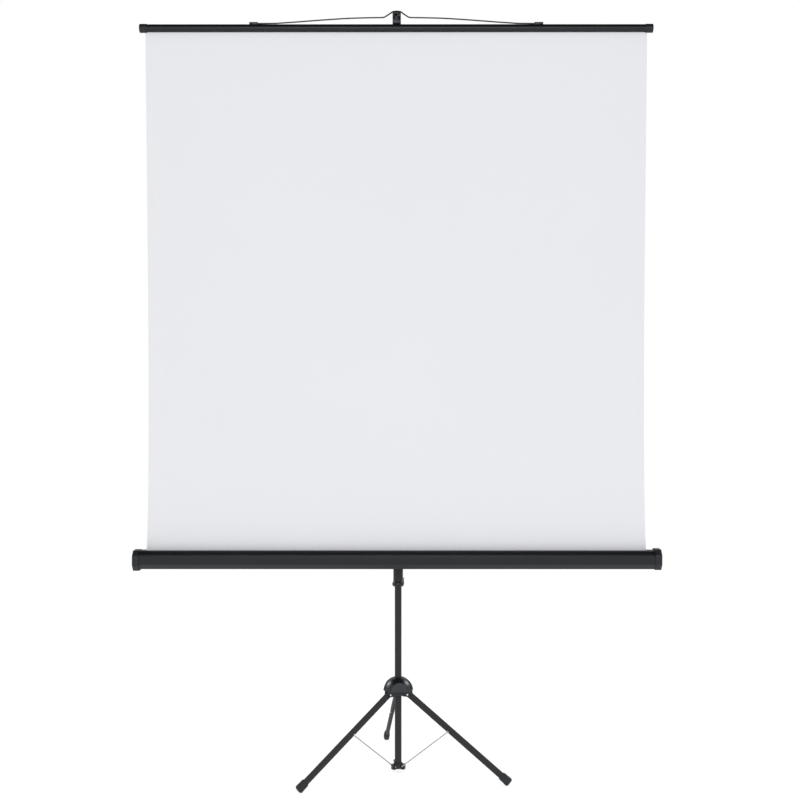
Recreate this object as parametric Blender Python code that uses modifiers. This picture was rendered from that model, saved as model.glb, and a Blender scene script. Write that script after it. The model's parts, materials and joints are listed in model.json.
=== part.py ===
"""Free-standing tripod projector screen, standing open. Metres, +Z up, the picture side faces -Y."""

import math

import bmesh
import bpy
from mathutils import Matrix, Vector

MM = 0.001
GAP = 0.3

# Driving sizes, in millimetres. X and Y are counted from the column's axis, Z from the floor.
COLUMN_X, COLUMN_Y = 3.0, -71.0
COLUMN_R, COLUMN_WALL = 10.4, 1.2
COLUMN_BOTTOM, COLUMN_TOP = 11.4, 1080.0
OUTER_R, OUTER_WALL = 14.75, 1.4
OUTER_BOTTOM, OUTER_TOP = 580.9, 1300.0
MAST_R, MAST_WALL = 8.0, 1.0
MAST_BOTTOM, MAST_TOP = 1150.0, 2283.6

# Tripod. The legs stand 120 degrees apart, the whole tripod turned a little to the left.
TRIPOD_TURN = 6.4
LEG_TURNS = {"back": 0.0, "left": 120.0, "right": -120.0}
LEG_PIVOT_R, LEG_PIVOT_Z, LEG_ANGLE = 35.0, 239.65, 54.39
LEG_DEEP, LEG_WIDE, LEG_WALL = 20.0, 12.5, 1.3
LEG_LENGTH = 392.0
FOOT_DEEP, FOOT_WIDE, FOOT_START, FOOT_END = 26.6, 19.5, 366.0, 398.6
STAY_PIVOT_R, STAY_PIVOT_Z = 15.0, 17.0
STAY_TOP_R, STAY_TOP_Z = 165.4, 139.4
STAY_R, STAY_SIDE = 1.85, -8.7
HUB_R, HUB_CENTRE_Z, HUB_RIM_Z, HUB_FLAT, HUB_DRAFT = 46.5, 244.0, 250.0, 38.5, 12.0
HUB_BOTTOM_Z = 232.5
CHEEK_OUT = 10.2

# Case, roller and fabric.
CASE_X, CASE_Y, CASE_Z = -3.0, -71.0, 657.0
CASE_HALF_X, CASE_DEEP, CASE_TALL, CASE_SHEET = 786.0, 58.0, 54.4, 1.2
CAP_IN, CAP_OUT = 769.3, 791.4
CAP_SHIFTS = {-1: (-1.6, 1.9), 1: (1.5, -0.6)}
SCREEN_X, FABRIC_Y, FABRIC_HALF_X = -5.6, -61.0, 750.6
SLOT_HALF = 7.5
ROLLER_Y, ROLLER_Z, ROLLER_R = -76.4, 656.0, 14.0
BAR_Z, BAR_R, BAR_HALF_X, BAR_CAP_IN, BAR_CAP_R = 2246.5, 11.9, 760.0, 745.6, 13.1
FABRIC_FOOT, FABRIC_HEAD, FABRIC_THICK = 658.0, 2241.0, 0.6
FABRIC_WAIST, FABRIC_CURL = 8.5, 5.0

# Bail and mast head.
BAIL_R, BAIL_Z, BAIL_HALF_X = 2.1, 2260.9, 436.0
HOOK_Y, HOOK_Z = -44.6, 2300.2
HEAD_X, HEAD_WIDE = -4.2, 25.2


def clear_scene():
    """Empties the file of whatever it starts with."""
    for obj in list(bpy.data.objects):
        bpy.data.objects.remove(obj, do_unlink=True)


def new_collection(name):
    """A collection under the scene."""
    collection = bpy.data.collections.new(name)
    bpy.context.scene.collection.children.link(collection)
    return collection


clear_scene()
SCREEN = new_collection("tripod_projector_screen")


def material(name, colour, roughness, metallic=0.0):
    """A plain material with the colour and sheen of one finish."""
    made = bpy.data.materials.new(name)
    made.use_nodes = True
    shader = made.node_tree.nodes["Principled BSDF"]
    shader.inputs["Base Color"].default_value = (*colour, 1.0)
    shader.inputs["Roughness"].default_value = roughness
    shader.inputs["Metallic"].default_value = metallic
    made.diffuse_color = (*colour, 1.0)
    return made


def finish(name):
    """The colour, roughness and metallic value of a named finish."""
    finishes = {
        "black_paint": ((0.030, 0.030, 0.033), 0.38, 0.0),
        "black_plastic": ((0.022, 0.022, 0.024), 0.42, 0.0),
        "rubber": ((0.020, 0.020, 0.021), 0.75, 0.0),
        "steel": ((0.62, 0.62, 0.63), 0.28, 1.0),
        "dark_wire": ((0.10, 0.10, 0.105), 0.35, 0.6),
        "fabric": ((0.80, 0.805, 0.82), 0.85, 0.0),
        "aluminium": ((0.55, 0.55, 0.57), 0.40, 1.0),
        "grey_plastic": ((0.25, 0.25, 0.26), 0.5, 0.0),
    }
    return finishes[name]


def dress(obj, look, angle=35.0):
    """Gives a part its own material, and smooth faces up to sharp edges of this angle or more."""
    obj.data.materials.clear()
    obj.data.materials.append(material(obj.name + "_look", *finish(look)))
    for face in obj.data.polygons:
        face.use_smooth = True
    obj.data.set_sharp_from_angle(angle=math.radians(angle))
    return obj


def link(obj, parent=None):
    """Puts an object in the model and under its parent."""
    SCREEN.objects.link(obj)
    obj.parent = parent
    return obj


def axis_point(name, place, parent=None, turn=0.0):
    """An empty on a joint's axis, turned about Z by turn degrees."""
    empty = bpy.data.objects.new(name, None)
    link(empty, parent)
    empty.empty_display_size = 0.02
    empty.location = Vector(place) * MM
    empty.rotation_euler = (0.0, 0.0, math.radians(turn))
    return empty


def mesh_object(name, bm, parent, place=(0, 0, 0)):
    """An object from a bmesh in millimetres."""
    bmesh.ops.recalc_face_normals(bm, faces=bm.faces)
    bmesh.ops.scale(bm, vec=(MM, MM, MM), verts=bm.verts)
    mesh = bpy.data.meshes.new(name)
    bm.to_mesh(mesh)
    bm.free()
    obj = link(bpy.data.objects.new(name, mesh), parent)
    obj.location = Vector(place) * MM
    return obj


def laid(obj, along):
    """Turns a shape made along Z so that it runs along X or Y."""
    if along == "X":
        obj.data.transform(Matrix.Rotation(math.radians(90), 4, "Y"))
    if along == "Y":
        obj.data.transform(Matrix.Rotation(math.radians(-90), 4, "X"))
    return obj


def turned(name, profile, parent, place=(0, 0, 0), steps=32, along="Z"):
    """A round part: a closed profile of (radius, height) turned about its own axis."""
    mesh = bpy.data.meshes.new(name)
    bm = bmesh.new()
    points = [bm.verts.new((radius * MM, 0.0, height * MM)) for radius, height in profile]
    for first, second in zip(points, points[1:] + points[:1]):
        if first.co.x > 1e-7 or second.co.x > 1e-7:
            bm.edges.new((first, second))
    bm.to_mesh(mesh)
    bm.free()
    obj = link(bpy.data.objects.new(name, mesh), parent)
    screw = obj.modifiers.new("turn", "SCREW")
    screw.axis = "Z"
    screw.steps = screw.render_steps = steps
    screw.use_merge_vertices = True
    screw.merge_threshold = 0.00001
    screw.use_smooth_shade = True
    laid(baked(obj), along)
    obj.location = Vector(place) * MM
    return obj


def baked(obj):
    """Makes an object's evaluated shape its plain mesh, with outward faces and welded seams."""
    bpy.context.view_layer.update()
    graph = bpy.context.evaluated_depsgraph_get()
    made = bpy.data.meshes.new_from_object(obj.evaluated_get(graph))
    bm = bmesh.new()
    bm.from_mesh(made)
    bmesh.ops.remove_doubles(bm, verts=bm.verts, dist=0.000004)
    bmesh.ops.dissolve_degenerate(bm, edges=bm.edges, dist=0.000003)
    bmesh.ops.recalc_face_normals(bm, faces=bm.faces)
    bm.to_mesh(made)
    bm.free()
    obj.modifiers.clear()
    old, obj.data = obj.data, made
    made.name = obj.name
    if old.users == 0:
        bpy.data.meshes.remove(old)
    return obj


def tube(name, radius, wall, bottom, top, parent, steps=32):
    """A plain round tube along Z."""
    profile = [(radius, top), (radius, bottom), (radius - wall, bottom), (radius - wall, top)]
    return turned(name, profile, parent, steps=steps)


def disc(name, radius, start, end, parent, place=(0, 0, 0), along="Z", steps=24):
    """A plain solid cylinder from start to end along one axis."""
    bm = bmesh.new()
    size = {"radius1": radius, "radius2": radius, "depth": end - start}
    bmesh.ops.create_cone(bm, cap_ends=True, segments=steps, **size)
    bmesh.ops.translate(bm, vec=(0, 0, (start + end) / 2), verts=bm.verts)
    return laid(mesh_object(name, bm, parent, place), along)


def block(name, low, high, parent):
    """A box between two corners."""
    bm = bmesh.new()
    bmesh.ops.create_cube(bm, size=1.0)
    low, high = Vector(low), Vector(high)
    bmesh.ops.scale(bm, vec=high - low, verts=bm.verts)
    bmesh.ops.translate(bm, vec=(low + high) / 2, verts=bm.verts)
    return mesh_object(name, bm, parent)


def slab(name, outlines, low, high, parent, plane="YZ"):
    """A straight part: closed outlines, the second and later ones being holes, run from low to high."""
    curve = bpy.data.curves.new(name, "CURVE")
    curve.dimensions = "2D"
    curve.fill_mode = "BOTH"
    curve.extrude = (high - low) / 2 * MM
    for outline in outlines:
        spline = curve.splines.new("POLY")
        spline.points.add(len(outline) - 1)
        for point, (first, second) in zip(spline.points, outline):
            point.co = (first * MM, second * MM, 0.0, 1.0)
        spline.use_cyclic_u = True
    made = as_mesh(link(bpy.data.objects.new(name, curve), parent))
    made.data.transform(Matrix.Translation((0.0, 0.0, (low + high) / 2 * MM)))
    turns = {
        "XY": Matrix.Identity(4),
        "YZ": Matrix(((0, 0, 1, 0), (1, 0, 0, 0), (0, 1, 0, 0), (0, 0, 0, 1))),
        "XZ": Matrix(((1, 0, 0, 0), (0, 0, -1, 0), (0, 1, 0, 0), (0, 0, 0, 1))),
    }
    made.data.transform(turns[plane])
    return made


def as_mesh(obj):
    """The mesh object that takes a curve's place, its end faces welded on."""
    bpy.context.view_layer.update()
    graph = bpy.context.evaluated_depsgraph_get()
    made = bpy.data.meshes.new_from_object(obj.evaluated_get(graph))
    bm = bmesh.new()
    bm.from_mesh(made)
    bmesh.ops.remove_doubles(bm, verts=bm.verts, dist=0.000004)
    bmesh.ops.recalc_face_normals(bm, faces=bm.faces)
    bm.to_mesh(made)
    bm.free()
    name, parent = obj.name, obj.parent
    bpy.data.objects.remove(obj, do_unlink=True)
    made.name = name
    return link(bpy.data.objects.new(name, made), parent)


def wire(name, points, radius, parent, sides=2):
    """A round wire through points in millimetres, with closed ends."""
    curve = bpy.data.curves.new(name, "CURVE")
    curve.dimensions = "3D"
    curve.bevel_depth = radius * MM
    curve.bevel_resolution = sides
    curve.use_fill_caps = True
    spline = curve.splines.new("POLY")
    spline.points.add(len(points) - 1)
    for point, place in zip(spline.points, points):
        point.co = (*(Vector(place) * MM), 1.0)
    return as_mesh(link(bpy.data.objects.new(name, curve), parent))


def combine(obj, other, how="DIFFERENCE"):
    """Joins a part with another shape, or cuts that shape out of it, and then takes the shape away."""
    bpy.context.view_layer.update()
    change = obj.modifiers.new(how.lower(), "BOOLEAN")
    change.operation = how
    change.solver = "EXACT"
    change.object = other
    baked(obj)
    bpy.data.objects.remove(other, do_unlink=True)
    return obj


def bevelled(obj, width, segments=2, angle=40.0):
    """Rounds a part's edges."""
    bevel = obj.modifiers.new("bevel", "BEVEL")
    bevel.width = width * MM
    bevel.segments = segments
    bevel.limit_method = "ANGLE"
    bevel.angle_limit = math.radians(angle)
    bevel.use_clamp_overlap = True
    return baked(obj)


def arc(centre, radius, start, end, count):
    """Points on an arc in a plane, from one angle to another in degrees."""
    return [
        (
            centre[0] + radius * math.cos(math.radians(start + (end - start) * step / count)),
            centre[1] + radius * math.sin(math.radians(start + (end - start) * step / count)),
        )
        for step in range(count + 1)
    ]


def oval(half_long, half_short, count=24, power=2.6):
    """A flat-sided oval."""
    points = []
    for step in range(count):
        angle = 2 * math.pi * step / count
        c, s = math.cos(angle), math.sin(angle)
        points.append(
            (
                math.copysign(abs(c) ** (2 / power), c) * half_long,
                math.copysign(abs(s) ** (2 / power), s) * half_short,
            )
        )
    return points


# Column and foot bracket


def build_column(stand):
    """The fixed column, its foot bracket and the guide ring on its top end."""
    dress(tube("column_tube", COLUMN_R, COLUMN_WALL, COLUMN_BOTTOM, COLUMN_TOP, stand), "black_paint")
    bore, ring = COLUMN_R + GAP, COLUMN_R + 2.9
    profile = [(0, 9), (ring - 1, 9), (ring, 10), (ring, 25.5), (ring - 0.8, 27), (bore, 27)]
    profile += [(bore, 11), (0, 11)]
    spreader = turned("spreader", profile, stand, steps=30)
    for turn in LEG_TURNS.values():
        frame = axis_point("lug_axis", (0, 0, 0), stand, TRIPOD_TURN + 90 + turn)
        outline = [(11.6, 7.8), *arc((20.4, 9.9), 2.1, -90, 0, 3), *arc((19.5, 21.6), 3.0, 0, 90, 3), (11.6, 24.6)]
        lug = slab("lug", [outline], -6.0, 6.0, frame, "XZ")
        combine(spreader, lug, "UNION")
    combine(spreader, block("tab", (-13.3, -3.2, 22.0), (-COLUMN_R - GAP, 3.2, 35.4), stand), "UNION")
    combine(spreader, disc("tab_rivet", 2.7, -14.8, -12.6, stand, (0, 0, 32.4), "X", 12), "UNION")
    bpy.context.view_layer.update()
    for turn in LEG_TURNS.values():
        frame = axis_point("lug_axis", (0, 0, 0), stand, TRIPOD_TURN + 90 + turn)
        hole = disc("hole", STAY_R + 0.35, -12, 12, frame, (STAY_PIVOT_R, 0, STAY_PIVOT_Z), "Y", 12)
        combine(spreader, hole)
    dress(spreader, "black_plastic")
    inner, outer = MAST_R + 0.4, OUTER_R - OUTER_WALL - GAP
    profile = [(outer, 1092), (outer, 1050), (bore, 1050), (bore, 1080.4), (inner, 1080.4), (inner, 1092)]
    dress(turned("column_bush", profile, stand, steps=24), "grey_plastic")


# Hub with its cheeks and pins


def build_hub(hub):
    """The sliding hub: a dome with three flats, a core and a pair of cheeks for each leg."""
    rise = LEG_PIVOT_Z
    dome = [(10.8, 286.4), (12.9, 286.8), (13.3, 288.0)]
    for angle in (73, 66, 57, 48, 40, 32, 24, 16, 7.4):
        point = arc((0, HUB_CENTRE_Z), HUB_R, angle, angle, 1)[0]
        dome.append(point)
    dome += [(44.6, HUB_RIM_Z), (19.5, HUB_RIM_Z), (19.5, 234.5), (18.5, 233.5), (10.8, 233.5)]
    body = turned("hub", [(radius, height - rise) for radius, height in dome], hub, steps=40)
    for turn in LEG_TURNS.values():
        frame = axis_point("flat_axis", (0, 0, 0), hub, TRIPOD_TURN + 90 + turn + 180)
        flat = block("flat", (0, -60, -40), (30, 60, 60), frame)
        flat.location = (HUB_FLAT * MM, 0.0, (HUB_RIM_Z - rise) * MM)
        flat.rotation_euler = (0.0, math.radians(-HUB_DRAFT), 0.0)
        combine(body, flat)
    for turn in LEG_TURNS.values():
        frame = axis_point("cheek_axis", (0, 0, 0), hub, TRIPOD_TURN + 90 + turn)
        low = HUB_BOTTOM_Z - rise
        outline = [(16.5, HUB_RIM_Z + 1.5 - rise), (16.5, low + 4), (19.5, low), (37.0, low)]
        outline += arc((LEG_PIVOT_R + 1.6, 0.2), 7.4, -75, 25, 6)
        outline += [(43.4, HUB_RIM_Z + 1.5 - rise)]
        for side in (-1, 1):
            near, far = sorted((side * (LEG_WIDE / 2 + GAP), side * CHEEK_OUT))
            combine(body, slab("cheek", [outline], near, far, frame, "XZ"), "UNION")
    for turn in LEG_TURNS.values():
        frame = axis_point("hole_axis", (0, 0, 0), hub, TRIPOD_TURN + 90 + turn)
        combine(body, disc("hole", 2.4, -14, 14, frame, (LEG_PIVOT_R, 0, 0), "Y", 16))
    dress(body, "black_plastic")
    for side, turn in LEG_TURNS.items():
        frame = axis_point("pin_axis", (0, 0, 0), hub, TRIPOD_TURN + 90 + turn)
        head, end = CHEEK_OUT + GAP, CHEEK_OUT + 1.9
        profile = [(0, end), (2.0, end - 0.1), (3.1, head + 0.3), (3.1, head), (2.1, head)]
        profile += [(2.1, -head), (3.1, -head), (3.1, -head - 0.3), (2.0, 0.1 - end), (0, -end)]
        pin = turned(f"hub_pin_{side}", profile, frame, (LEG_PIVOT_R, 0, 0), 12, "Y")
        dress(pin, "steel")


# Legs, feet and stays


def leg_frame(name, turn, parent, radius, height):
    """An empty on a leg's or stay's pivot whose X points outward along the leg."""
    angle = math.radians(TRIPOD_TURN + 90 + turn)
    place = (radius * math.cos(angle), radius * math.sin(angle), height)
    return axis_point(name, place, parent, TRIPOD_TURN + 90 + turn)


def build_leg(side, turn, hub):
    """One leg with its foot and the rivet for its stay, built hanging down and swung outward."""
    pivot = leg_frame(f"leg_{side}_axis", turn, hub, LEG_PIVOT_R, 0.0)
    pivot.rotation_mode = "XYZ"
    swing = axis_point(f"leg_{side}_swing", (0, 0, 0), pivot)
    swing.rotation_euler = (0.0, math.radians(-LEG_ANGLE), 0.0)
    half_deep, half_wide = LEG_DEEP / 2, LEG_WIDE / 2
    walls = [
        oval(half_deep, half_wide),
        oval(half_deep - LEG_WALL, half_wide - LEG_WALL),
    ]
    leg = slab(f"leg_{side}", walls, -LEG_LENGTH, half_deep + 1.0, swing, "XY")
    tip = [(-20, 20), (20, 20), (20, 0)] + arc((0, 0), half_deep - 0.02, 0, 180, 14) + [(-20, 0)]
    combine(leg, slab("tip", [tip], -10, 10, swing, "XZ"))
    combine(leg, disc("hole", 2.45, -10, 10, swing, (0, 0, 0), "Y", 16))
    reach = Vector((STAY_TOP_R - LEG_PIVOT_R, STAY_TOP_Z - LEG_PIVOT_Z))
    turned_in = math.atan2(reach.x, -reach.y) - math.radians(LEG_ANGLE)
    rivet_x, rivet_z = reach.length * math.sin(turned_in), -reach.length * math.cos(turned_in)
    combine(leg, disc("hole", 2.0, -10, 10, swing, (rivet_x, 0, rivet_z), "Y", 16))
    dress(leg, "black_paint", angle=30)
    profile = [(0, half_wide + 2.0), (1.6, half_wide + 1.8), (2.6, half_wide + 1.0), (2.7, half_wide + GAP)]
    profile += [(1.6, half_wide + GAP), (1.6, 0.1 - half_wide), (0, 0.1 - half_wide)]
    rivet = turned(f"stay_rivet_{side}", profile, swing, (rivet_x, 0, rivet_z), 16, "Y")
    dress(rivet, "steel")
    build_foot(side, pivot, swing)


def build_foot(side, pivot, swing):
    """A rubber foot pushed on the leg's end, cut flat where it stands on the floor."""
    rows = [(FOOT_START, 0.86), (FOOT_START + 2.0, 0.92), (FOOT_START + 12, 0.97), (FOOT_END - 7, 1.0)]
    rows += [(FOOT_END - 3.6, 0.95), (FOOT_END - 1.2, 0.83), (FOOT_END, 0.66)]
    bm = bmesh.new()
    rings = []
    for along, share in rows:
        outline = oval(FOOT_DEEP / 2 * share, FOOT_WIDE / 2 * share, 28)
        rings.append([bm.verts.new((x, y, -along)) for x, y in outline])
    for upper, lower in zip(rings, rings[1:]):
        for first in range(28):
            second = (first + 1) % 28
            bm.faces.new((upper[first], upper[second], lower[second], lower[first]))
    bm.faces.new(rings[0])
    bm.faces.new(rings[-1][::-1])
    foot = mesh_object(f"foot_{side}", bm, swing)
    room = oval(LEG_DEEP / 2 + GAP, LEG_WIDE / 2 + GAP)
    combine(foot, slab("room", [room], -LEG_LENGTH - GAP, -FOOT_START + 5, swing, "XY"))
    drop = -LEG_PIVOT_Z
    combine(foot, block("floor", (200, -40, drop - 40), (400, 40, drop), pivot))
    dress(foot, "rubber")


def build_stay(side, turn, stand):
    """One wire stay: its lower end is bent through the bracket's lug, its upper end is flattened."""
    pivot = leg_frame(f"stay_{side}_axis", turn, stand, STAY_PIVOT_R, STAY_PIVOT_Z)
    reach = Vector((STAY_TOP_R - STAY_PIVOT_R, STAY_TOP_Z - STAY_PIVOT_Z))
    swing = axis_point(f"stay_{side}_swing", (0, 0, 0), pivot)
    swing.rotation_euler = (0.0, math.atan2(reach.x, reach.y), 0.0)
    corner = arc((STAY_SIDE + 2.6, 2.6), 2.6, 270, 180, 5)
    points = [(0, 8.6, 0)] + [(0, y, z) for y, z in corner] + [(0, STAY_SIDE, reach.length - 2.5)]
    stay = wire(f"stay_{side}", points, STAY_R, swing)
    pad = [(0, STAY_SIDE + 1.3), (3.4, STAY_SIDE + 1.3), (3.9, STAY_SIDE + 0.8)]
    pad += [(3.9, STAY_SIDE - 0.8), (3.4, STAY_SIDE - 1.3), (0, STAY_SIDE - 1.3)]
    eye = turned("eye", pad, swing, (0, 0, reach.length), 20, "Y")
    combine(stay, eye, "UNION")
    dress(stay, "steel")


# Outer tube with its collars, lever and knob


def build_outer(outer):
    """The tube that slides on the column, and the collars at its two ends."""
    dress(tube("outer_tube", OUTER_R, OUTER_WALL, OUTER_BOTTOM, OUTER_TOP, outer), "black_paint")
    bore, plug = COLUMN_R + 0.35, OUTER_R - OUTER_WALL - GAP
    profile = [(plug, 600), (plug, 580.5), (15.6, 580.5), (17.4, 576.5), (17.9, 573.0), (17.9, 569.4)]
    profile += [(15.6, 566), (bore, 566), (bore, 600)]
    collar = turned("height_collar", profile, outer, steps=30)
    combine(collar, block("pocket", (12.4, -6.3, 569.3), (30, 6.3, 590), outer))
    combine(collar, disc("hole", 1.35, -8.9, 8.9, outer, (15.3, 0, 572.5), "Y", 12))
    dress(collar, "black_plastic")
    dress(disc("lever_pin", 1.0, -8.6, 8.6, outer, (15.3, 0, 572.5), "Y", 12), "steel")
    lever_axis = axis_point("height_lever_axis", (15.3, 0, 572.5), outer)
    outline = arc((0, 0), 2.6, 150, 360, 9) + [(2.6, 15.5), (3.3, 18.4), (2.9, 19.2), (1.6, 19.2)]
    outline += [(0.2, 16.0), (0.0, 4.2)]
    lever = slab("height_lever", [outline], -5.9, 5.9, lever_axis, "XZ")
    combine(lever, disc("hole", 1.35, -8, 8, lever_axis, (0, 0, 0), "Y", 12))
    dress(lever, "black_plastic")
    build_mast_collar(outer)


def build_mast_collar(outer):
    """The collar that guides the mast, with the screw knob that locks it."""
    bore, plug = MAST_R + 0.35, OUTER_R - OUTER_WALL - GAP
    profile = [(14.5, 1316), (17.0, 1313.5), (17.0, 1300.4), (plug, 1300.4), (plug, 1262)]
    profile += [(bore, 1262), (bore, 1316)]
    collar = turned("mast_collar", profile, outer, steps=24)
    combine(collar, disc("boss", 6.2, 13.0, 23.5, outer, (0, 0, 1308), "Y", 20), "UNION")
    combine(collar, disc("hole", 2.85, 5.0, 30.0, outer, (0, 0, 1308), "Y", 16))
    dress(collar, "black_plastic")
    knob_axis = axis_point("mast_knob_axis", (0, 0, 1308), outer)
    profile = [(0, 37.6), (11.4, 37.6), (12.8, 36.2), (12.8, 27.4), (11.4, 26.0), (6.0, 24.2)]
    profile += [(2.5, 24.2), (2.5, 8.5), (0, 8.5)]
    knob = turned("mast_knob", profile, knob_axis, steps=24, along="Y")
    for step in range(6):
        turn = math.radians(60 * step)
        place = (14.6 * math.cos(turn), 0, 14.6 * math.sin(turn))
        combine(knob, disc("grip", 3.6, 25.0, 40.0, knob_axis, place, "Y", 14))
    dress(knob, "black_plastic")


def build_clamp(outer):
    """The clamp on the outer tube that carries the case's swivel."""
    low, high = CASE_Z - 20, CASE_Z + 20
    round_cut = OUTER_R + GAP
    outline = [(-29, -28.3), (29, -28.3), (29, -0.4), (-29, -0.4)]
    clamp = slab("tube_clamp", [outline], low, high, outer, "XY")
    clamp = bevelled(clamp, 1.2, 1)
    combine(clamp, disc("bore", round_cut, low - 5, high + 5, outer, steps=32))
    outline = [(29, 0.4), (29, 6.4)] + arc((0, 0.4), 20.0, 17.5, 162.5, 14) + [(-29, 6.4), (-29, 0.4)]
    strap = slab("clamp_strap", [outline], low, high, outer, "XY")
    combine(strap, disc("bore", round_cut, low - 5, high + 5, outer, steps=32))
    for side, x in (("left", -24.4), ("right", 24.4)):
        for piece in (clamp, strap):
            combine(piece, disc("hole", 2.5, -14, 10, outer, (x, 0, CASE_Z), "Y", 14))
        profile = [(0, 9.6), (2.8, 9.6), (3.9, 8.8), (3.9, 6.7), (2.2, 6.7), (2.2, -13.6), (0, -13.6)]
        dress(turned(f"clamp_screw_{side}", profile, outer, (x, 0, CASE_Z), 14, "Y"), "steel")
    combine(clamp, disc("seat", 8.4, -23.6, -10, outer, (0, 0, CASE_Z), "Y", 24))
    combine(clamp, disc("hole", 4.3, -30, -20, outer, (0, 0, CASE_Z), "Y", 20))
    dress(clamp, "black_paint")
    dress(strap, "black_paint")
    profile = [(0, -16.4), (6.6, -16.4), (7.6, -17.4), (7.6, -23.3), (4.0, -23.3)]
    profile += [(4.0, -51.0), (3.4, -51.8), (0, -51.8)]
    dress(turned("swivel_bolt", profile, outer, (0, 0, CASE_Z), 20, "Y"), "steel")
    outlines = [arc((0, 0), 7.4, 0, 300, 5), arc((0, 0), 4.3, 0, 337.5, 15)]
    nut = slab("swivel_nut", outlines, 44.2, 49.4, outer, "XZ")
    nut.location = (0.0, 0.0, CASE_Z * MM)
    dress(nut, "steel", angle=30)


# Case, roller and fabric


def case_outline(grow=0.0):
    """The case's outline in (y, z) about its centre, from the slot's front lip round to its rear lip."""
    deep, tall = CASE_DEEP / 2 + grow, CASE_TALL / 2 + grow
    slot = FABRIC_Y - CASE_Y
    front = [(slot - SLOT_HALF, tall), (-15.0, tall), (-deep + 2.6, 16.2)]
    front += [(-deep + 2.6, 14.2), (-deep, 13.4)]
    lower = [(-deep, -12.0), (-15.5, -tall), (15.5, -tall), (deep, -12.0)]
    rear = [(deep, 15.0), (slot + SLOT_HALF + 2.0 + grow, tall), (slot + SLOT_HALF, tall)]
    return front + lower + rear


def offset_in(outline, distance):
    """An open outline moved inward by the sheet's thickness."""
    moved = []
    for index, point in enumerate(outline):
        before = Vector(outline[index - 1]) if index else None
        after = Vector(outline[index + 1]) if index + 1 < len(outline) else None
        here = Vector(point)
        normals = []
        for start, end in ((before, here), (here, after)):
            if start is not None and end is not None:
                run = (end - start).normalized()
                normals.append(Vector((-run.y, run.x)))
        total = sum(normals, Vector((0, 0)))
        moved.append(tuple(here + total * distance * len(normals) / total.length_squared))
    return moved


def case_panel(outer, inner, first, last):
    """The sheet from one fold to another, kept a hair short of its neighbours."""
    sides = []
    for line in (outer, inner):
        points = [Vector(point) for point in line[first : last + 1]]
        if first > 0:
            points[0] += (points[1] - points[0]).normalized() * 0.02
        if last < len(line) - 1:
            points[-1] += (points[-2] - points[-1]).normalized() * 0.02
        sides.append([tuple(point) for point in points])
    return sides[0] + sides[1][::-1]


def build_case(case):
    """The folded sheet case, open along its top, as panels between its folds, with its end caps."""
    outer = case_outline()
    inner = offset_in(outer, CASE_SHEET)
    folds = {"top_front": (0, 2), "front": (2, 5), "lower_front": (5, 6), "bottom": (6, 7)}
    folds |= {"lower_back": (7, 8), "back": (8, 9), "top_back": (9, 11)}
    for word, (first, last) in folds.items():
        sheet = case_panel(outer, inner, first, last)
        panel = slab(f"case_{word}", [sheet], -CASE_HALF_X, CASE_HALF_X, case, "YZ")
        panel.data.transform(Matrix.Translation((CASE_X * MM, CASE_Y * MM, 0.0)))
        if word == "back":
            combine(panel, disc("hole", 4.6, -60, -30, case, (0, 0, 0), "Y", 20))
            for x, z in saddle_corners():
                combine(panel, disc("hole", 2.15, -60, -30, case, (x, 0, z), "Y", 12))
        dress(panel, "black_paint", angle=25)
    for side, name in ((-1, "case_cap_left"), (1, "case_cap_right")):
        build_case_cap(name, side, case)


def cap_outline(grow, lift=0.0, drop=0.0):
    """A case cap's outline in (y, z): the case's own, closed over the slot, its top and foot moved out."""
    deep, tall = CASE_DEEP / 2 + grow, CASE_TALL / 2 + grow
    slant = grow * 0.42
    front = [(-15.0 - slant, tall + lift), (-deep, 14.6 + slant + lift)]
    foot = [(-deep, -12.0 - slant - drop), (-15.5 - slant, -tall - drop)]
    foot += [(15.5 + slant, -tall - drop), (deep, -12.0 - slant - drop)]
    return front + foot + [(deep, 15.0 + slant + lift), (19.5 + slant, tall + lift)]


def eased_corners(outline, radius):
    """A closed outline with each corner cut by two short runs."""
    made = []
    for index, corner in enumerate(outline):
        here = Vector(corner)
        before = (Vector(outline[index - 1]) - here).normalized() * radius
        after = (Vector(outline[(index + 1) % len(outline)]) - here).normalized() * radius
        made += [tuple(here + before), tuple(here + (before + after) * 0.28), tuple(here + after)]
    return made


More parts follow.
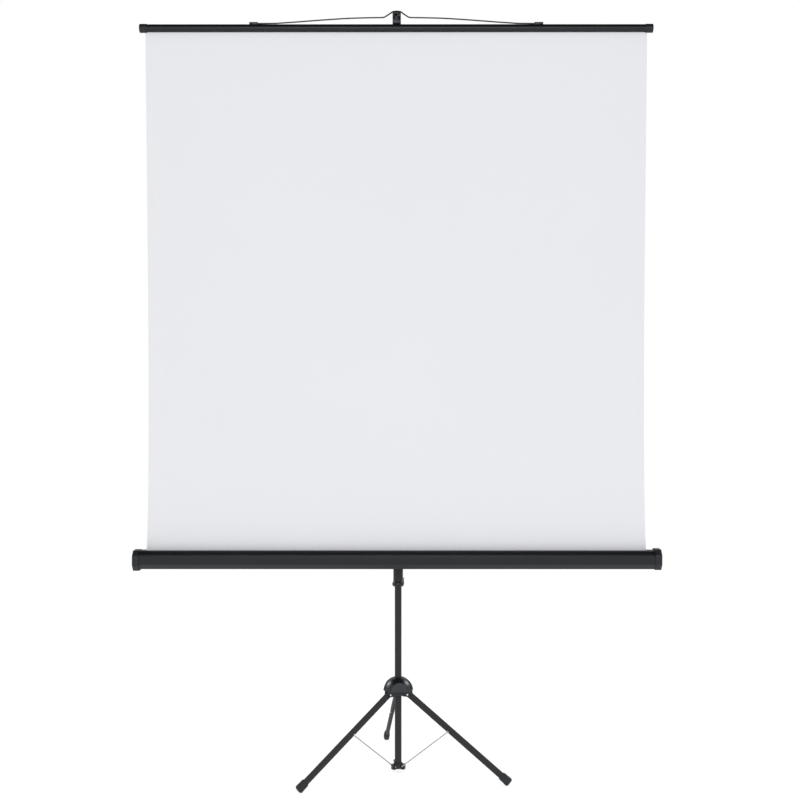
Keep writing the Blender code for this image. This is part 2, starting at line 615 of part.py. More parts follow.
def build_case_cap(name, side, case):
    """One moulded end cap, a cup over the case's end with a boss for the roller's axle."""
    outline = eased_corners(cap_outline(3.0, *CAP_SHIFTS[side]), 1.6)
    bm = bmesh.new()
    rings = []
    for share, inward in ((0.985, 0.0), (1.0, 0.6)):
        rings.append([bm.verts.new((side * (CAP_IN + inward), y * share, z * share)) for y, z in outline])
    for share, inward in ((1.0, 4.0), (0.985, 3.3), (0.93, 2.8), (0.8, 2.1), (0.6, 1.2), (0.3, 0.3)):
        rings.append([bm.verts.new((side * (CAP_OUT - inward), y * share, z * share)) for y, z in outline])
    for inner, outer in zip(rings, rings[1:]):
        for first in range(len(outline)):
            second = (first + 1) % len(outline)
            bm.faces.new((inner[first], inner[second], outer[second], outer[first]))
    bm.faces.new(rings[0])
    crown = bm.verts.new((side * CAP_OUT, 0.0, 0.0))
    for first, point in enumerate(rings[-1]):
        bm.faces.new((point, rings[-1][(first + 1) % len(outline)], crown))
    cap = mesh_object(name, bm, case)
    low, high = sorted((side * (CAP_IN - 5), side * (CASE_HALF_X + GAP)))
    combine(cap, slab("room", [cap_outline(GAP)], low, high, case, "YZ"))
    shift = (CASE_X * MM, CASE_Y * MM, 0.0)
    cap.data.transform(Matrix.Translation(shift))
    place = (0, ROLLER_Y, ROLLER_Z - CASE_Z)
    start, end = sorted((side * 775.0 + CASE_X, side * 788.6 + CASE_X))
    combine(cap, disc("boss", 8.0, start, end, case, place, "X", 20), "UNION")
    start, end = sorted((side * 760.0 + CASE_X, side * 787.0 + CASE_X))
    combine(cap, disc("hole", 3.35 if side < 0 else 4.35, start, end, case, place, "X", 16))
    dress(cap, "black_plastic", angle=30)


def saddle_corners():
    """Where the rivets of the case's saddle are, in (x, z) from the swivel."""
    return [(-36.0, 0.0), (36.0, 0.0)]


def build_saddle(case):
    """The saddle plate riveted to the case's back, with the swivel's round boss."""
    rear = CASE_Y + CASE_DEEP / 2
    saddle = block("case_saddle", (-46, rear + GAP, -13.0), (46, rear + 5.3, 13.0), case)
    saddle = bevelled(saddle, 1.5, 1)
    profile = [(14.0, -28.7), (15.0, -29.7), (15.0, -40.0), (0, -40.0), (0, -28.7)]
    combine(saddle, turned("boss", profile, case, (0, 0, 0), 24, "Y"), "UNION")
    combine(saddle, disc("hole", 4.4, -50, -20, case, (0, 0, 0), "Y", 20))
    for number, (x, z) in enumerate(saddle_corners(), 1):
        combine(saddle, disc("hole", 2.15, -60, -30, case, (x, 0, z), "Y", 12))
        head, inside = rear + 5.3 + GAP, rear - CASE_SHEET - GAP
        profile = [(0, head + 1.7), (2.2, head + 1.4), (3.5, head), (1.85, head)]
        profile += [(1.85, inside), (3.1, inside), (2.6, inside - 1.2), (0, inside - 1.3)]
        dress(turned(f"saddle_rivet_{number}", profile, case, (x, 0, z), 10, "Y"), "steel")
    dress(saddle, "black_paint")


def fabric_point(share, place):
    """Where a point of the fabric is, from its share of the height and its place across, -1 to 1."""
    z = FABRIC_FOOT + share * (FABRIC_HEAD - FABRIC_FOOT)
    climb = min(1.0, max(0.0, (z - 684.0) / (2233.0 - 684.0)))
    free = math.sin(math.pi * climb)
    half = FABRIC_HALF_X - FABRIC_WAIST * math.sin(math.pi * climb**0.62)
    curl = FABRIC_CURL * free**0.6 * max(0.0, (abs(place) - 0.95) / 0.05) ** 2
    return Vector((SCREEN_X + place * half, FABRIC_Y - curl, z - CASE_Z))


def build_fabric(case):
    """The drawn-out screen: a sheet with sides drawn in at mid height and edges curled a little forward."""
    right = [0.0, 0.2, 0.5, 0.8, 0.95, 0.976, 0.9885, 0.9925, 0.9965, 1.0]
    across = [-place for place in right[:0:-1]] + right
    rows = [0.0, 0.017] + [0.08 * step for step in range(1, 12)] + [0.94, 0.975, 0.9945, 1.0]
    bm = bmesh.new()
    columns, levels = len(across) - 1, len(rows) - 1
    bmesh.ops.create_grid(bm, x_segments=columns, y_segments=levels, size=1.0)
    corners = []
    for face in bm.faces:
        middle = face.calc_center_median()
        column = int((middle.x + 1) / 2 * columns)
        if middle.y > 1 - 2 / levels and not 3 <= column < columns - 3:
            corners.append(face)
    bmesh.ops.delete(bm, geom=corners, context="FACES")
    for vert in bm.verts:
        column = round((vert.co.x + 1) / 2 * columns)
        level = round((vert.co.y + 1) / 2 * levels)
        vert.co = fabric_point(rows[level], across[column])
    fabric = mesh_object("screen_fabric", bm, case)
    sheet = fabric.modifiers.new("thickness", "SOLIDIFY")
    sheet.thickness = FABRIC_THICK * MM
    sheet.offset = 0.0
    dress(baked(fabric), "fabric", angle=50)


def build_roller(case, roller):
    """The spring roller in the case, with the turns of fabric left on it."""
    low, high = SCREEN_X - 752.0, SCREEN_X + 754.0
    walls = [(ROLLER_R, high), (ROLLER_R, low), (ROLLER_R - 1.0, low), (ROLLER_R - 1.0, high)]
    dress(turned("roller_tube", walls, roller, steps=28, along="X"), "aluminium")
    start, end = SCREEN_X - 749, SCREEN_X + 749
    roll = [(14.75, end), (14.75, start), (14.3, start), (14.3, end)]
    dress(turned("fabric_roll", roll, roller, steps=28, along="X"), "fabric")
    flange = [(0, low + 22), (12.6, low + 22), (12.6, low - GAP), (13.8, low - GAP)]
    flange += [(13.8, low - 3), (0, low - 3)]
    plug = turned("idle_plug", flange, roller, steps=24, along="X")
    combine(plug, disc("hole", 3.3, low - 9, low + 18, roller, (0, 0, 0), "X", 16))
    dress(plug, "grey_plastic")
    dress(disc("idle_pin", 3.0, -783 + CASE_X, low + 17.5, roller, (0, 0, 0), "X", 16), "steel")
    flange = [(13.8, high + 3), (13.8, high + GAP), (12.6, high + GAP), (12.6, high - 22)]
    flange += [(4.4, high - 22), (4.4, high + 3)]
    dress(turned("spring_plug", flange, roller, steps=24, along="X"), "grey_plastic")
    place = (0, ROLLER_Y, ROLLER_Z - CASE_Z)
    dress(disc("spring_arbor", 4.0, 440.0, 786 + CASE_X, case, place, "X", 16), "steel")
    turns, per_turn = 14, 8
    points = []
    for step in range(turns * per_turn + 1):
        angle = 2 * math.pi * step / per_turn
        along = 450 + 255.0 * step / (turns * per_turn)
        points.append((along, 9.2 * math.cos(angle), 9.2 * math.sin(angle)))
    spring = wire("torsion_spring", points, 1.0, case, sides=1)
    spring.location = Vector(place) * MM
    dress(spring, "steel")


# Top bar and bail


def build_bar(bar):
    """The top bar, slotted below for the fabric, with its end caps, rod and bail clips."""
    outline = arc((0, 0), BAR_R, -84.0, 264.0, 40) + arc((0, 0), BAR_R - 1.2, 263.3, -83.3, 32)
    profile = slab("top_bar", [outline], SCREEN_X - BAR_HALF_X, SCREEN_X + BAR_HALF_X, bar, "YZ")
    dress(profile, "black_paint", angle=30)
    for side, name in ((-1, "bar_cap_left"), (1, "bar_cap_right")):
        room, cup = BAR_R + GAP, BAR_CAP_R
        shape = [(0, 768), (11.6, 768), (12.6, 767.4), (cup, 766.2), (cup, BAR_CAP_IN + 0.6)]
        shape += [(cup - 0.5, BAR_CAP_IN), (room, BAR_CAP_IN), (room, 761), (0, 761)]
        cap = turned(name, shape, bar, steps=32, along="X")
        if side < 0:
            cap.data.transform(Matrix.Rotation(math.pi, 4, "Z"))
        cap.data.transform(Matrix.Translation((SCREEN_X * MM, 0, 0)))
        dress(cap, "black_plastic")
    rod = disc("fabric_rod", 2.4, SCREEN_X - 738, SCREEN_X + 738, bar, (0, 0, -2.8), "X", 14)
    dress(rod, "grey_plastic")
    for side, name in ((-1, "bail_clip_left"), (1, "bail_clip_right")):
        start, end = sorted((side * 413.0 + SCREEN_X, side * 439.5 + SCREEN_X))
        clip = block(name, (start, -5.2, 9.0), (end, 5.2, BAIL_Z - BAR_Z + 3.6), bar)
        clip = bevelled(clip, 1.4, 2, 60)
        combine(clip, disc("bar", BAR_R + GAP, start - 5, end + 5, bar, (0, 0, 0), "X", 40))
        hollow = [(-2.5, 0.0), (-2.5, BAIL_Z - BAR_Z)] + arc((0, BAIL_Z - BAR_Z), 2.5, 180, 0, 8)[1:-1]
        hollow += [(2.5, BAIL_Z - BAR_Z), (2.5, 0.0)]
        combine(clip, slab("hollow", [hollow], start - 5, end + 5, bar, "YZ"))
        dress(clip, "black_plastic")


def build_bail(bail):
    """The wire bail, leaning back from the bar to rest its raised middle in the mast head's hook."""
    lean = math.atan2(HOOK_Y - FABRIC_Y, HOOK_Z - BAIL_Z)
    rise = math.hypot(HOOK_Y - FABRIC_Y, HOOK_Z - BAIL_Z)
    half = [(BAIL_HALF_X, 0.0), (412.0, 0.0), (360.0, 0.6), (341.0, 2.3), (305.0, 5.1), (269.0, 8.6)]
    half += [(233.0, 11.9), (197.0, 15.0), (161.0, 17.9), (143.0, 19.1), (125.0, 19.9), (107.0, 20.5)]
    half += [(71.0, 21.4), (53.0, 21.7), (43.0, 22.0), (39.5, 22.4), (35.5, 23.9), (32.0, 26.5)]
    half += [(18.0, rise - 4.6), (15.6, rise - 2.1), (13.4, rise - 0.45), (10.5, rise + 0.6)]
    half += [(6.5, rise + 2.0), (2.2, rise + 2.7)]
    middle = HEAD_X - SCREEN_X
    flat = [(-x, h) for x, h in half] + [(x, h) for x, h in half[::-1]]
    points = []
    for x, height in flat:
        shift = middle * min(1.0, height / rise)
        points.append((SCREEN_X + x + shift, height * math.sin(lean), height * math.cos(lean)))
    dress(wire("bail_wire", points, BAIL_R, bail, sides=2), "dark_wire")


# Mast


def build_mast(mast):
    """The mast and the hook block on its top end."""
    dress(tube("mast_tube", MAST_R, MAST_WALL, MAST_BOTTOM, MAST_TOP, mast, 28), "black_paint")
    left, right = HEAD_X - HEAD_WIDE / 2, HEAD_X + HEAD_WIDE / 2
    hook = [(-48.8, 2268.0), (-48.8, 2301.6), (-48.4, 2302.4), (-47.6, 2302.4)]
    hook += arc((HOOK_Y, HOOK_Z), BAIL_R + 0.65, 180, 360, 8)
    crown = [(-41.2, 2301.0), (-39.6, 2302.4), (-20.0, 2302.8), (4.0, 2301.0)]
    back = [(11.8, 2294.0), (11.8, 2257.5), (10.8, 2256.0), (-12.0, 2256.0)]
    outline = hook + crown + back + [(-16.0, 2258.5), (-40.0, 2264.0)]
    head = slab("mast_head", [outline], left, right, mast, "YZ")
    combine(head, block("room", (left + 3.4, -45.6, 2240), (right - 3.4, -12.8, 2294.5), mast))
    windows = [((-6.0, 2287.8), (0.6, 2295.8)), ((-11.0, 2277.6), (-5.4, 2286.4)), ((2.1, 2276.0), (10.8, 2286.4))]
    for (x0, z0), (x1, z1) in windows:
        combine(head, block("window", (HEAD_X + x0, -60, z0), (HEAD_X + x1, -45.0, z1), mast))
    combine(head, disc("bore", MAST_R + GAP, 2200, MAST_TOP + GAP, mast, steps=28))
    dress(head, "black_plastic", angle=30)


def build_screen():
    """The whole screen, from the column outward."""
    stand = axis_point("stand_axis", (COLUMN_X, COLUMN_Y, 0))
    build_column(stand)
    hub = axis_point("hub_axis", (0, 0, LEG_PIVOT_Z), stand)
    build_hub(hub)
    for side, turn in LEG_TURNS.items():
        build_leg(side, turn, hub)
        build_stay(side, turn, stand)
    outer = axis_point("outer_axis", (0, 0, 0), stand)
    build_outer(outer)
    build_clamp(outer)
    mast = axis_point("mast_axis", (0, 0, 0), outer)
    build_mast(mast)
    case = axis_point("case_axis", (0, 0, CASE_Z), outer)
    build_case(case)
    build_saddle(case)
    build_fabric(case)
    roller = axis_point("roller_axis", (0, ROLLER_Y, ROLLER_Z - CASE_Z), case)
    build_roller(case, roller)
    bar = axis_point("bar_axis", (0, FABRIC_Y, BAR_Z - CASE_Z), case)
    build_bar(bar)
    bail = axis_point("bail_axis", (0, 0, BAIL_Z - BAR_Z), bar)
    build_bail(bail)


build_screen()
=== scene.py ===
"""Looks of a free-standing tripod projector screen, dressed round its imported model. Metres, +Z up."""

import json
import logging
import math
from abc import ABC, abstractmethod
from collections.abc import Sequence
from dataclasses import dataclass
from enum import Enum

import bmesh
import bpy
from mathutils import Matrix, Vector

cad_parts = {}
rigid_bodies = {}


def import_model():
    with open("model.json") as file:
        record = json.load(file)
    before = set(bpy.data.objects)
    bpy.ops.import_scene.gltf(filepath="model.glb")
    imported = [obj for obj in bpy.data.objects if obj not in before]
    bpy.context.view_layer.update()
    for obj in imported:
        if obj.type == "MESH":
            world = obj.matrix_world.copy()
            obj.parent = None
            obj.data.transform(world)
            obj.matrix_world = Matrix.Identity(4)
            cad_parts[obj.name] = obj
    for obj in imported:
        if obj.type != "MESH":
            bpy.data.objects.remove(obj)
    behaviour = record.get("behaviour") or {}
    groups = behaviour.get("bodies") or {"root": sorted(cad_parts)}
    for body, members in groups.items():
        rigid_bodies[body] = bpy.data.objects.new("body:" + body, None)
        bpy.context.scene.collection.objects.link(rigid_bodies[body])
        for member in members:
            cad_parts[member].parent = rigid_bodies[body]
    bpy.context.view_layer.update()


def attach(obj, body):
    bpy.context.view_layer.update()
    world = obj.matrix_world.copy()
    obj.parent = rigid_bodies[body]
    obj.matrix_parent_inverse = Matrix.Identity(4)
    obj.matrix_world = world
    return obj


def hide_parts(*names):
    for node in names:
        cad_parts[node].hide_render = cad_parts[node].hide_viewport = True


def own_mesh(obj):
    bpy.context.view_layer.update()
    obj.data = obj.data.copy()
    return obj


LOG = logging.getLogger("projector_screen")
MM = 0.001
Pair = tuple[float, float]
Triple = tuple[float, float, float]


class Run(Enum):
    """The axis that a turned piece runs along, as a turn of a piece made along Z."""

    X = ("Y", 90.0)
    Y = ("X", -90.0)
    Z = ("Z", 0.0)

    @property
    def matrix(self) -> Matrix:
        """The turn from Z to this axis."""
        axis, angle = self.value
        return Matrix.Rotation(math.radians(angle), 4, axis)


class Plane(Enum):
    """The plane that an extruded outline lies in."""

    XY = ((1, 0, 0), (0, 1, 0), (0, 0, 1))
    YZ = ((0, 0, 1), (1, 0, 0), (0, 1, 0))
    XZ = ((1, 0, 0), (0, 0, -1), (0, 1, 0))

    @property
    def matrix(self) -> Matrix:
        """The turn from the XY plane to this one."""
        return Matrix(self.value).to_4x4()


class Leg(Enum):
    """The three legs, each with its turn round the column in degrees."""

    BACK = 0.0
    LEFT = 120.0
    RIGHT = -120.0

    @property
    def word(self) -> str:
        """The leg's name in the model's nodes and bodies."""
        return self.name.lower()


class Slot(Enum):
    """The record's material slots."""

    PAINT = "black_paint"
    PLASTIC = "black_plastic"
    RUBBER = "black_rubber"
    STEEL = "bright_steel"
    WIRE = "bail_steel"
    CLOTH = "screen_cloth"
    ALUMINIUM = "roller_aluminium"


def shift(x: float = 0.0, y: float = 0.0, z: float = 0.0) -> Matrix:
    """A move given in millimetres."""
    return Matrix.Translation(Vector((x, y, z)) * MM)


def swing(angle: float, axis: str) -> Matrix:
    """A turn given in degrees about X, Y or Z."""
    return Matrix.Rotation(math.radians(angle), 4, axis)


# Places in millimetres: the column's axis, the cloth from that axis, the centres of case and bar, and
# the leg pivots' distance from the column and height. The tripod's turn is in degrees.
COLUMN_X, COLUMN_Y = 3.0, -71.0
COLUMN = shift(COLUMN_X, COLUMN_Y)
SCREEN_X, SCREEN_Y = -5.6, -61.0
CASE_Y, CASE_Z, BAR_Z = -142.0, 657.0, 2246.5
PIVOT_R, PIVOT_Z = 35.0, 239.65
TRIPOD_TURN = 6.4


# Node trees


class Tree:
    """Short ways to add and join the nodes of a shader or geometry tree."""

    def __init__(self, tree: bpy.types.NodeTree) -> None:
        """Keeps the tree.

        Args:
            tree: the node tree to add to.
        """
        self.tree = tree

    def add(self, kind: str, inputs: dict | None = None, **settings: object) -> bpy.types.Node:
        """Adds a node, sets it, and fills or joins its inputs.

        Args:
            kind: the node's type name.
            inputs: values or output sockets, by input name or number.
            **settings: the node's own settings.

        Returns:
            The node.
        """
        node = self.tree.nodes.new(kind)
        for key, value in settings.items():
            setattr(node, key, value)
        for key, value in (inputs or {}).items():
            self.feed(node, key, value)
        return node

    def feed(self, node: bpy.types.Node, key: str | int, value: object) -> None:
        """Gives an input a value, or joins an output socket to it."""
        if isinstance(value, bpy.types.NodeSocket):
            self.tree.links.new(value, node.inputs[key])
        else:
            node.inputs[key].default_value = value

    def math(self, how: str, *values: object) -> bpy.types.NodeSocket:
        """One arithmetic step.

        Args:
            how: the operation's name, of a Math node.
            *values: numbers or sockets.

        Returns:
            The result's socket.
        """
        kind = "ShaderNodeMath"
        return self.add(kind, dict(enumerate(values)), operation=how).outputs[0]

    def spread(self, value: bpy.types.NodeSocket, low: float, high: float) -> bpy.types.NodeSocket:
        """Maps a value of 0 to 1 to a range."""
        inputs = {"Value": value, "To Min": low, "To Max": high}
        return self.add("ShaderNodeMapRange", inputs).outputs["Result"]

    def blend(
        self, first: bpy.types.NodeSocket, second: bpy.types.NodeSocket, share: float
    ) -> bpy.types.NodeSocket:
        """Adds two values, the first by its share and the second by the rest."""
        parts = (self.math("MULTIPLY", first, share), self.math("MULTIPLY", second, 1 - share))
        return self.math("ADD", *parts)


def new_group(name: str, inputs: dict[str, str], outputs: dict[str, str]) -> tuple[Tree, dict, dict]:
    """Starts a shader node group with named sockets.

    Args:
        name: the group's name.
        inputs: socket kinds, by input name.
        outputs: socket kinds, by output name.

    Returns:
        The tree, its input sockets, and its output node.
    """
    group = bpy.data.node_groups.new(name, "ShaderNodeTree")
    for in_out, sockets in (("INPUT", inputs), ("OUTPUT", outputs)):
        for socket, kind in sockets.items():
            group.interface.new_socket(name=socket, in_out=in_out, socket_type="NodeSocket" + kind)
    tree = Tree(group)
    return tree, tree.add("NodeGroupInput").outputs, tree.add("NodeGroupOutput")


def surface_grain() -> bpy.types.NodeTree:
    """A group: fine grain of a coated or moulded surface, with a slow change of tone.

    Returns:
        The group, with outputs Height and Tone from 0 to 1.
    """
    name = "surface_grain"
    if name in bpy.data.node_groups:
        return bpy.data.node_groups[name]
    kinds = {"Vector": "Vector", "Grains per metre": "Float"}
    tree, given, out = new_group(name, kinds, {"Height": "Float", "Tone": "Float"})
    fine = {"Vector": given["Vector"], "Scale": given["Grains per metre"], "Detail": 4.0}
    height = tree.add("ShaderNodeTexNoise", {**fine, "Roughness": 0.55}).outputs["Fac"]
    slow = tree.add("ShaderNodeTexNoise", {"Vector": given["Vector"], "Scale": 9.0, "Detail": 5.0})
    tree.feed(out, "Height", height)
    tree.feed(out, "Tone", tree.blend(slow.outputs["Fac"], height, 0.7))
    return tree.tree


def drawn_lines() -> bpy.types.NodeTree:
    """A group: fine lines that run along a drawn wire or tube.

    Returns:
        The group, with outputs Height and Tone from 0 to 1.
    """
    name = "drawn_lines"
    if name in bpy.data.node_groups:
        return bpy.data.node_groups[name]
    kinds = {"Vector": "Vector", "Stretch": "Vector"}
    tree, given, out = new_group(name, kinds, {"Height": "Float", "Tone": "Float"})
    long = tree.add("ShaderNodeVectorMath", {0: given["Vector"], 1: given["Stretch"]}, operation="MULTIPLY")
    fine = {"Vector": long.outputs[0], "Scale": 1.0, "Detail": 5.0, "Roughness": 0.6}
    lines = tree.add("ShaderNodeTexNoise", fine).outputs["Fac"]
    blot = tree.add("ShaderNodeTexNoise", {"Vector": given["Vector"], "Scale": 40.0, "Detail": 3.0})
    tree.feed(out, "Height", lines)
    tree.feed(out, "Tone", tree.blend(lines, blot.outputs["Fac"], 0.6))
    return tree.tree


def cloth_weave() -> bpy.types.NodeTree:
    """A group: the crossing threads under a coated cloth, on coordinates in metres.

    Returns:
        The group, with outputs Height and Tone from 0 to 1.
    """
    name = "cloth_weave"
    if name in bpy.data.node_groups:
        return bpy.data.node_groups[name]
    kinds = {"Vector": "Vector", "Threads per metre": "Float"}
    tree, given, out = new_group(name, kinds, {"Height": "Float", "Tone": "Float"})
    parts = tree.add("ShaderNodeSeparateXYZ", {0: given["Vector"]})
    turns = tree.math("MULTIPLY", given["Threads per metre"], 2 * math.pi)
    waves = []
    for axis in ("X", "Y"):
        wave = tree.math("SINE", tree.math("MULTIPLY", parts.outputs[axis], turns))
        waves.append(tree.math("ADD", tree.math("MULTIPLY", wave, 0.5), 0.5))
    weave = tree.math("MAXIMUM", *waves)
    slow = tree.add("ShaderNodeTexNoise", {"Vector": given["Vector"], "Scale": 3.0, "Detail": 6.0})
    tree.feed(out, "Height", weave)
    tree.feed(out, "Tone", tree.blend(slow.outputs["Fac"], weave, 0.8))
    return tree.tree


# Finishes


@dataclass(frozen=True)
class Finish(ABC):
    """How one kind of surface looks."""

    name: str
    colour: Triple
    roughness: float
    metallic: float = 0.0
    gloss: float = 0.5
    gloss_tint: Triple = (1.0, 1.0, 1.0)

    def material(self) -> bpy.types.Material:
        """The finish as a material, made once.

        Returns:
            The material.
        """
        if self.name in bpy.data.materials:
            return bpy.data.materials[self.name]
        made = bpy.data.materials.new(self.name)
        made.use_nodes = True
        tree = Tree(made.node_tree)
        shader = made.node_tree.nodes["Principled BSDF"]
        shader.inputs["Metallic"].default_value = self.metallic
        shader.inputs["Specular IOR Level"].default_value = self.gloss
        shader.inputs["Specular Tint"].default_value = (*self.gloss_tint, 1.0)
        made.diffuse_color = (*self.colour, 1.0)
        self.paint(tree, shader)
        return made

    @abstractmethod
    def paint(self, tree: Tree, shader: bpy.types.Node) -> None:
        """Adds the nodes of the finish to its shader."""

    def tint(self, tree: Tree, shader: bpy.types.Node, tone: bpy.types.NodeSocket, spread: float) -> None:
        """Varies the base colour.

        Args:
            tree: the material's tree.
            shader: its shader.
            tone: a value of 0 to 1.
            spread: the share by which the colour changes each way.
        """
        mix = tree.add("ShaderNodeMix", {"Factor": tone}, data_type="RGBA")
        mix.inputs["A"].default_value = (*(part * (1 - spread) for part in self.colour), 1.0)
        mix.inputs["B"].default_value = (*(min(1.0, part * (1 + spread)) for part in self.colour), 1.0)
        tree.feed(shader, "Base Color", mix.outputs["Result"])

    def raise_surface(
        self, tree: Tree, shader: bpy.types.Node, height: bpy.types.NodeSocket, strength: float, depth: float
    ) -> None:
        """Joins a bump.

        Args:
            tree: the material's tree.
            shader: its shader.
            height: a height of 0 to 1.
            strength: the bump's strength.
            depth: the bump's depth in millimetres.
        """
        inputs = {"Height": height, "Strength": strength, "Distance": depth * MM}
        tree.feed(shader, "Normal", tree.add("ShaderNodeBump", inputs).outputs["Normal"])


@dataclass(frozen=True)
class Grained(Finish):
    """A powder coat, a moulded plastic or a rubber: one colour with a fine grain."""

    grains: float = 1500.0
    strength: float = 0.15
    depth: float = 0.05
    tone_spread: float = 0.18
    gloss_spread: float = 0.05

    def paint(self, tree: Tree, shader: bpy.types.Node) -> None:
        """Adds the grain."""
        place = tree.add("ShaderNodeTexCoord").outputs["Object"]
        grain = tree.add("ShaderNodeGroup", node_tree=surface_grain())
        tree.feed(grain, "Vector", place)
        tree.feed(grain, "Grains per metre", self.grains)
        tone = grain.outputs["Tone"]
        self.tint(tree, shader, tone, self.tone_spread)
        low, high = self.roughness - self.gloss_spread, self.roughness + self.gloss_spread
        tree.feed(shader, "Roughness", tree.spread(tone, low, high))
        self.raise_surface(tree, shader, grain.outputs["Height"], self.strength, self.depth)


@dataclass(frozen=True)
class Drawn(Finish):
    """A bare metal with lines along its length, where stretch is the lines per metre on each axis."""

    stretch: Triple = (2500.0, 2500.0, 60.0)
    strength: float = 0.12
    tone_spread: float = 0.12

    def paint(self, tree: Tree, shader: bpy.types.Node) -> None:
        """Adds the drawn lines."""
        lines = tree.add("ShaderNodeGroup", node_tree=drawn_lines())
        tree.feed(lines, "Vector", tree.add("ShaderNodeTexCoord").outputs["Object"])
        tree.feed(lines, "Stretch", self.stretch)
        tone = lines.outputs["Tone"]
        self.tint(tree, shader, tone, self.tone_spread)
        tree.feed(shader, "Roughness", tree.spread(tone, self.roughness - 0.07, self.roughness + 0.1))
        self.raise_surface(tree, shader, lines.outputs["Height"], self.strength, 0.02)


@dataclass(frozen=True)
class Coated(Finish):
    """A cloth with a smooth coat, on the cloth's own map in shares of its size."""

    size: Pair = (1.5, 1.58)
    threads: float = 1400.0
    tone_spread: float = 0.012

    def paint(self, tree: Tree, shader: bpy.types.Node) -> None:
        """Adds the weave under the coat."""
        mapping = tree.add("ShaderNodeMapping", {"Scale": (*self.size, 1.0)})
        tree.feed(mapping, "Vector", tree.add("ShaderNodeUVMap", uv_map="UVMap").outputs["UV"])
        weave = tree.add("ShaderNodeGroup", node_tree=cloth_weave())
        tree.feed(weave, "Vector", mapping.outputs["Vector"])
        tree.feed(weave, "Threads per metre", self.threads)
        tone = weave.outputs["Tone"]
        self.tint(tree, shader, tone, self.tone_spread)
        tree.feed(shader, "Roughness", tree.spread(tone, self.roughness - 0.04, self.roughness + 0.04))
        self.raise_surface(tree, shader, weave.outputs["Height"], 0.08, 0.03)


def dark(
    name: str, colour: Triple, roughness: float, gloss: float, grains: float, strength: float, depth: float
) -> Grained:
    """A dark grained finish whose gloss is slightly blue."""
    return Grained(name, colour, roughness, 0.0, gloss, (0.88, 0.92, 1.0), grains, strength, depth)


POWDER_COAT = dark("powder_coat", (0.0290, 0.0295, 0.0315), 0.55, 0.16, 1700.0, 0.16, 0.04)
BAR_COAT = dark("bar_coat", (0.0068, 0.0070, 0.0080), 0.34, 0.36, 1700.0, 0.14, 0.04)
CASE_COAT = dark("case_coat", (0.0048, 0.0050, 0.0056), 0.34, 0.42, 1300.0, 0.12, 0.04)
MOULDED = dark("moulded_plastic", (0.0050, 0.0053, 0.0063), 0.30, 0.45, 2600.0, 0.16, 0.04)
CAP_PLASTIC = dark("cap_plastic", (0.0080, 0.0084, 0.0096), 0.48, 0.42, 2200.0, 0.30, 0.06)
RUBBER = dark("foot_rubber", (0.0140, 0.0142, 0.0153), 0.62, 0.42, 1900.0, 0.35, 0.08)
GREY_PLASTIC = Grained("grey_plastic_grain", (0.24, 0.24, 0.25), 0.48, grains=2400.0, strength=0.2)
ZINC = Drawn("zinc_plate", (0.66, 0.66, 0.67), 0.27, 1.0)
STAY_STEEL = Drawn("stay_wire_finish", (0.42, 0.42, 0.43), 0.30, 1.0)
BAIL_STEEL = Drawn(
    "dark_wire_finish", (0.028, 0.028, 0.026), 0.40, stretch=(60.0, 2500.0, 2500.0), tone_spread=0.25
)
ALUMINIUM = Drawn("roller_finish", (0.56, 0.56, 0.58), 0.36, 1.0, stretch=(25.0, 2200.0, 2200.0))
CLOTH_FRONT = Coated("cloth_front", (0.770, 0.775, 0.806), 0.86, 0.0, 0.2)
CLOTH_BACK = Coated("cloth_back", (0.021, 0.021, 0.022), 0.62, 0.0, 0.3, tone_spread=0.12)


# Making meshes


def linked(name: str, data: bpy.types.ID) -> bpy.types.Object:
    """Puts data in the scene as an object at the origin."""
    obj = bpy.data.objects.new(name, data)
    bpy.context.scene.collection.objects.link(obj)
    return obj


def settled(obj: bpy.types.Object, place: Matrix | None = None) -> bpy.types.Object:
    """Swaps an object for one whose plain mesh is its evaluated shape.

    Args:
        obj: a mesh or curve object at the origin.
        place: a matrix that the mesh is then moved by.

    Returns:
        The mesh object, of the same name.
    """
    bpy.context.view_layer.update()
    graph = bpy.context.evaluated_depsgraph_get()
    mesh = bpy.data.meshes.new_from_object(obj.evaluated_get(graph))
    name = obj.name
    bpy.data.objects.remove(obj, do_unlink=True)
    if place is not None:
        mesh.transform(place)
    weld(mesh)
    mesh.name = name
    return linked(name, mesh)


def weld(mesh: bpy.types.Mesh, reach: float = 0.004) -> None:
    """Merges points that lie together, and turns the faces outward.

    Args:
        mesh: the mesh.
        reach: how near merged points are, in millimetres.
    """
    bm = bmesh.new()
    bm.from_mesh(mesh)
    bmesh.ops.remove_doubles(bm, verts=bm.verts, dist=reach * MM)
    bmesh.ops.dissolve_degenerate(bm, edges=bm.edges, dist=0.001 * MM)
    bmesh.ops.recalc_face_normals(bm, faces=bm.faces)
    bm.to_mesh(mesh)
    bm.free()


def lathe(
    name: str, profile: Sequence[Pair], place: Matrix, run: Run = Run.Z, steps: int = 96
) -> bpy.types.Object:
    """A turned piece: a closed profile of (radius, height) in millimetres, taken round its axis.

    Args:
        name: the piece's name.
        profile: the points of the profile.
        place: where the piece's own axes lie.
        run: the axis that it turns about.
        steps: the number of faces round it.

    Returns:
        The mesh object.
    """
    bm = bmesh.new()
    points = [bm.verts.new((radius * MM, 0.0, height * MM)) for radius, height in profile]
    for first, second in zip(points, points[1:] + points[:1]):
        if first.co.x > 1e-7 or second.co.x > 1e-7:
            bm.edges.new((first, second))
    mesh = bpy.data.meshes.new(name)
    bm.to_mesh(mesh)
    bm.free()
    obj = linked(name, mesh)
    screw = obj.modifiers.new("turn", "SCREW")
    screw.steps = screw.render_steps = steps
    screw.use_merge_vertices = True
    screw.merge_threshold = 0.00001
    return settled(obj, place @ run.matrix)


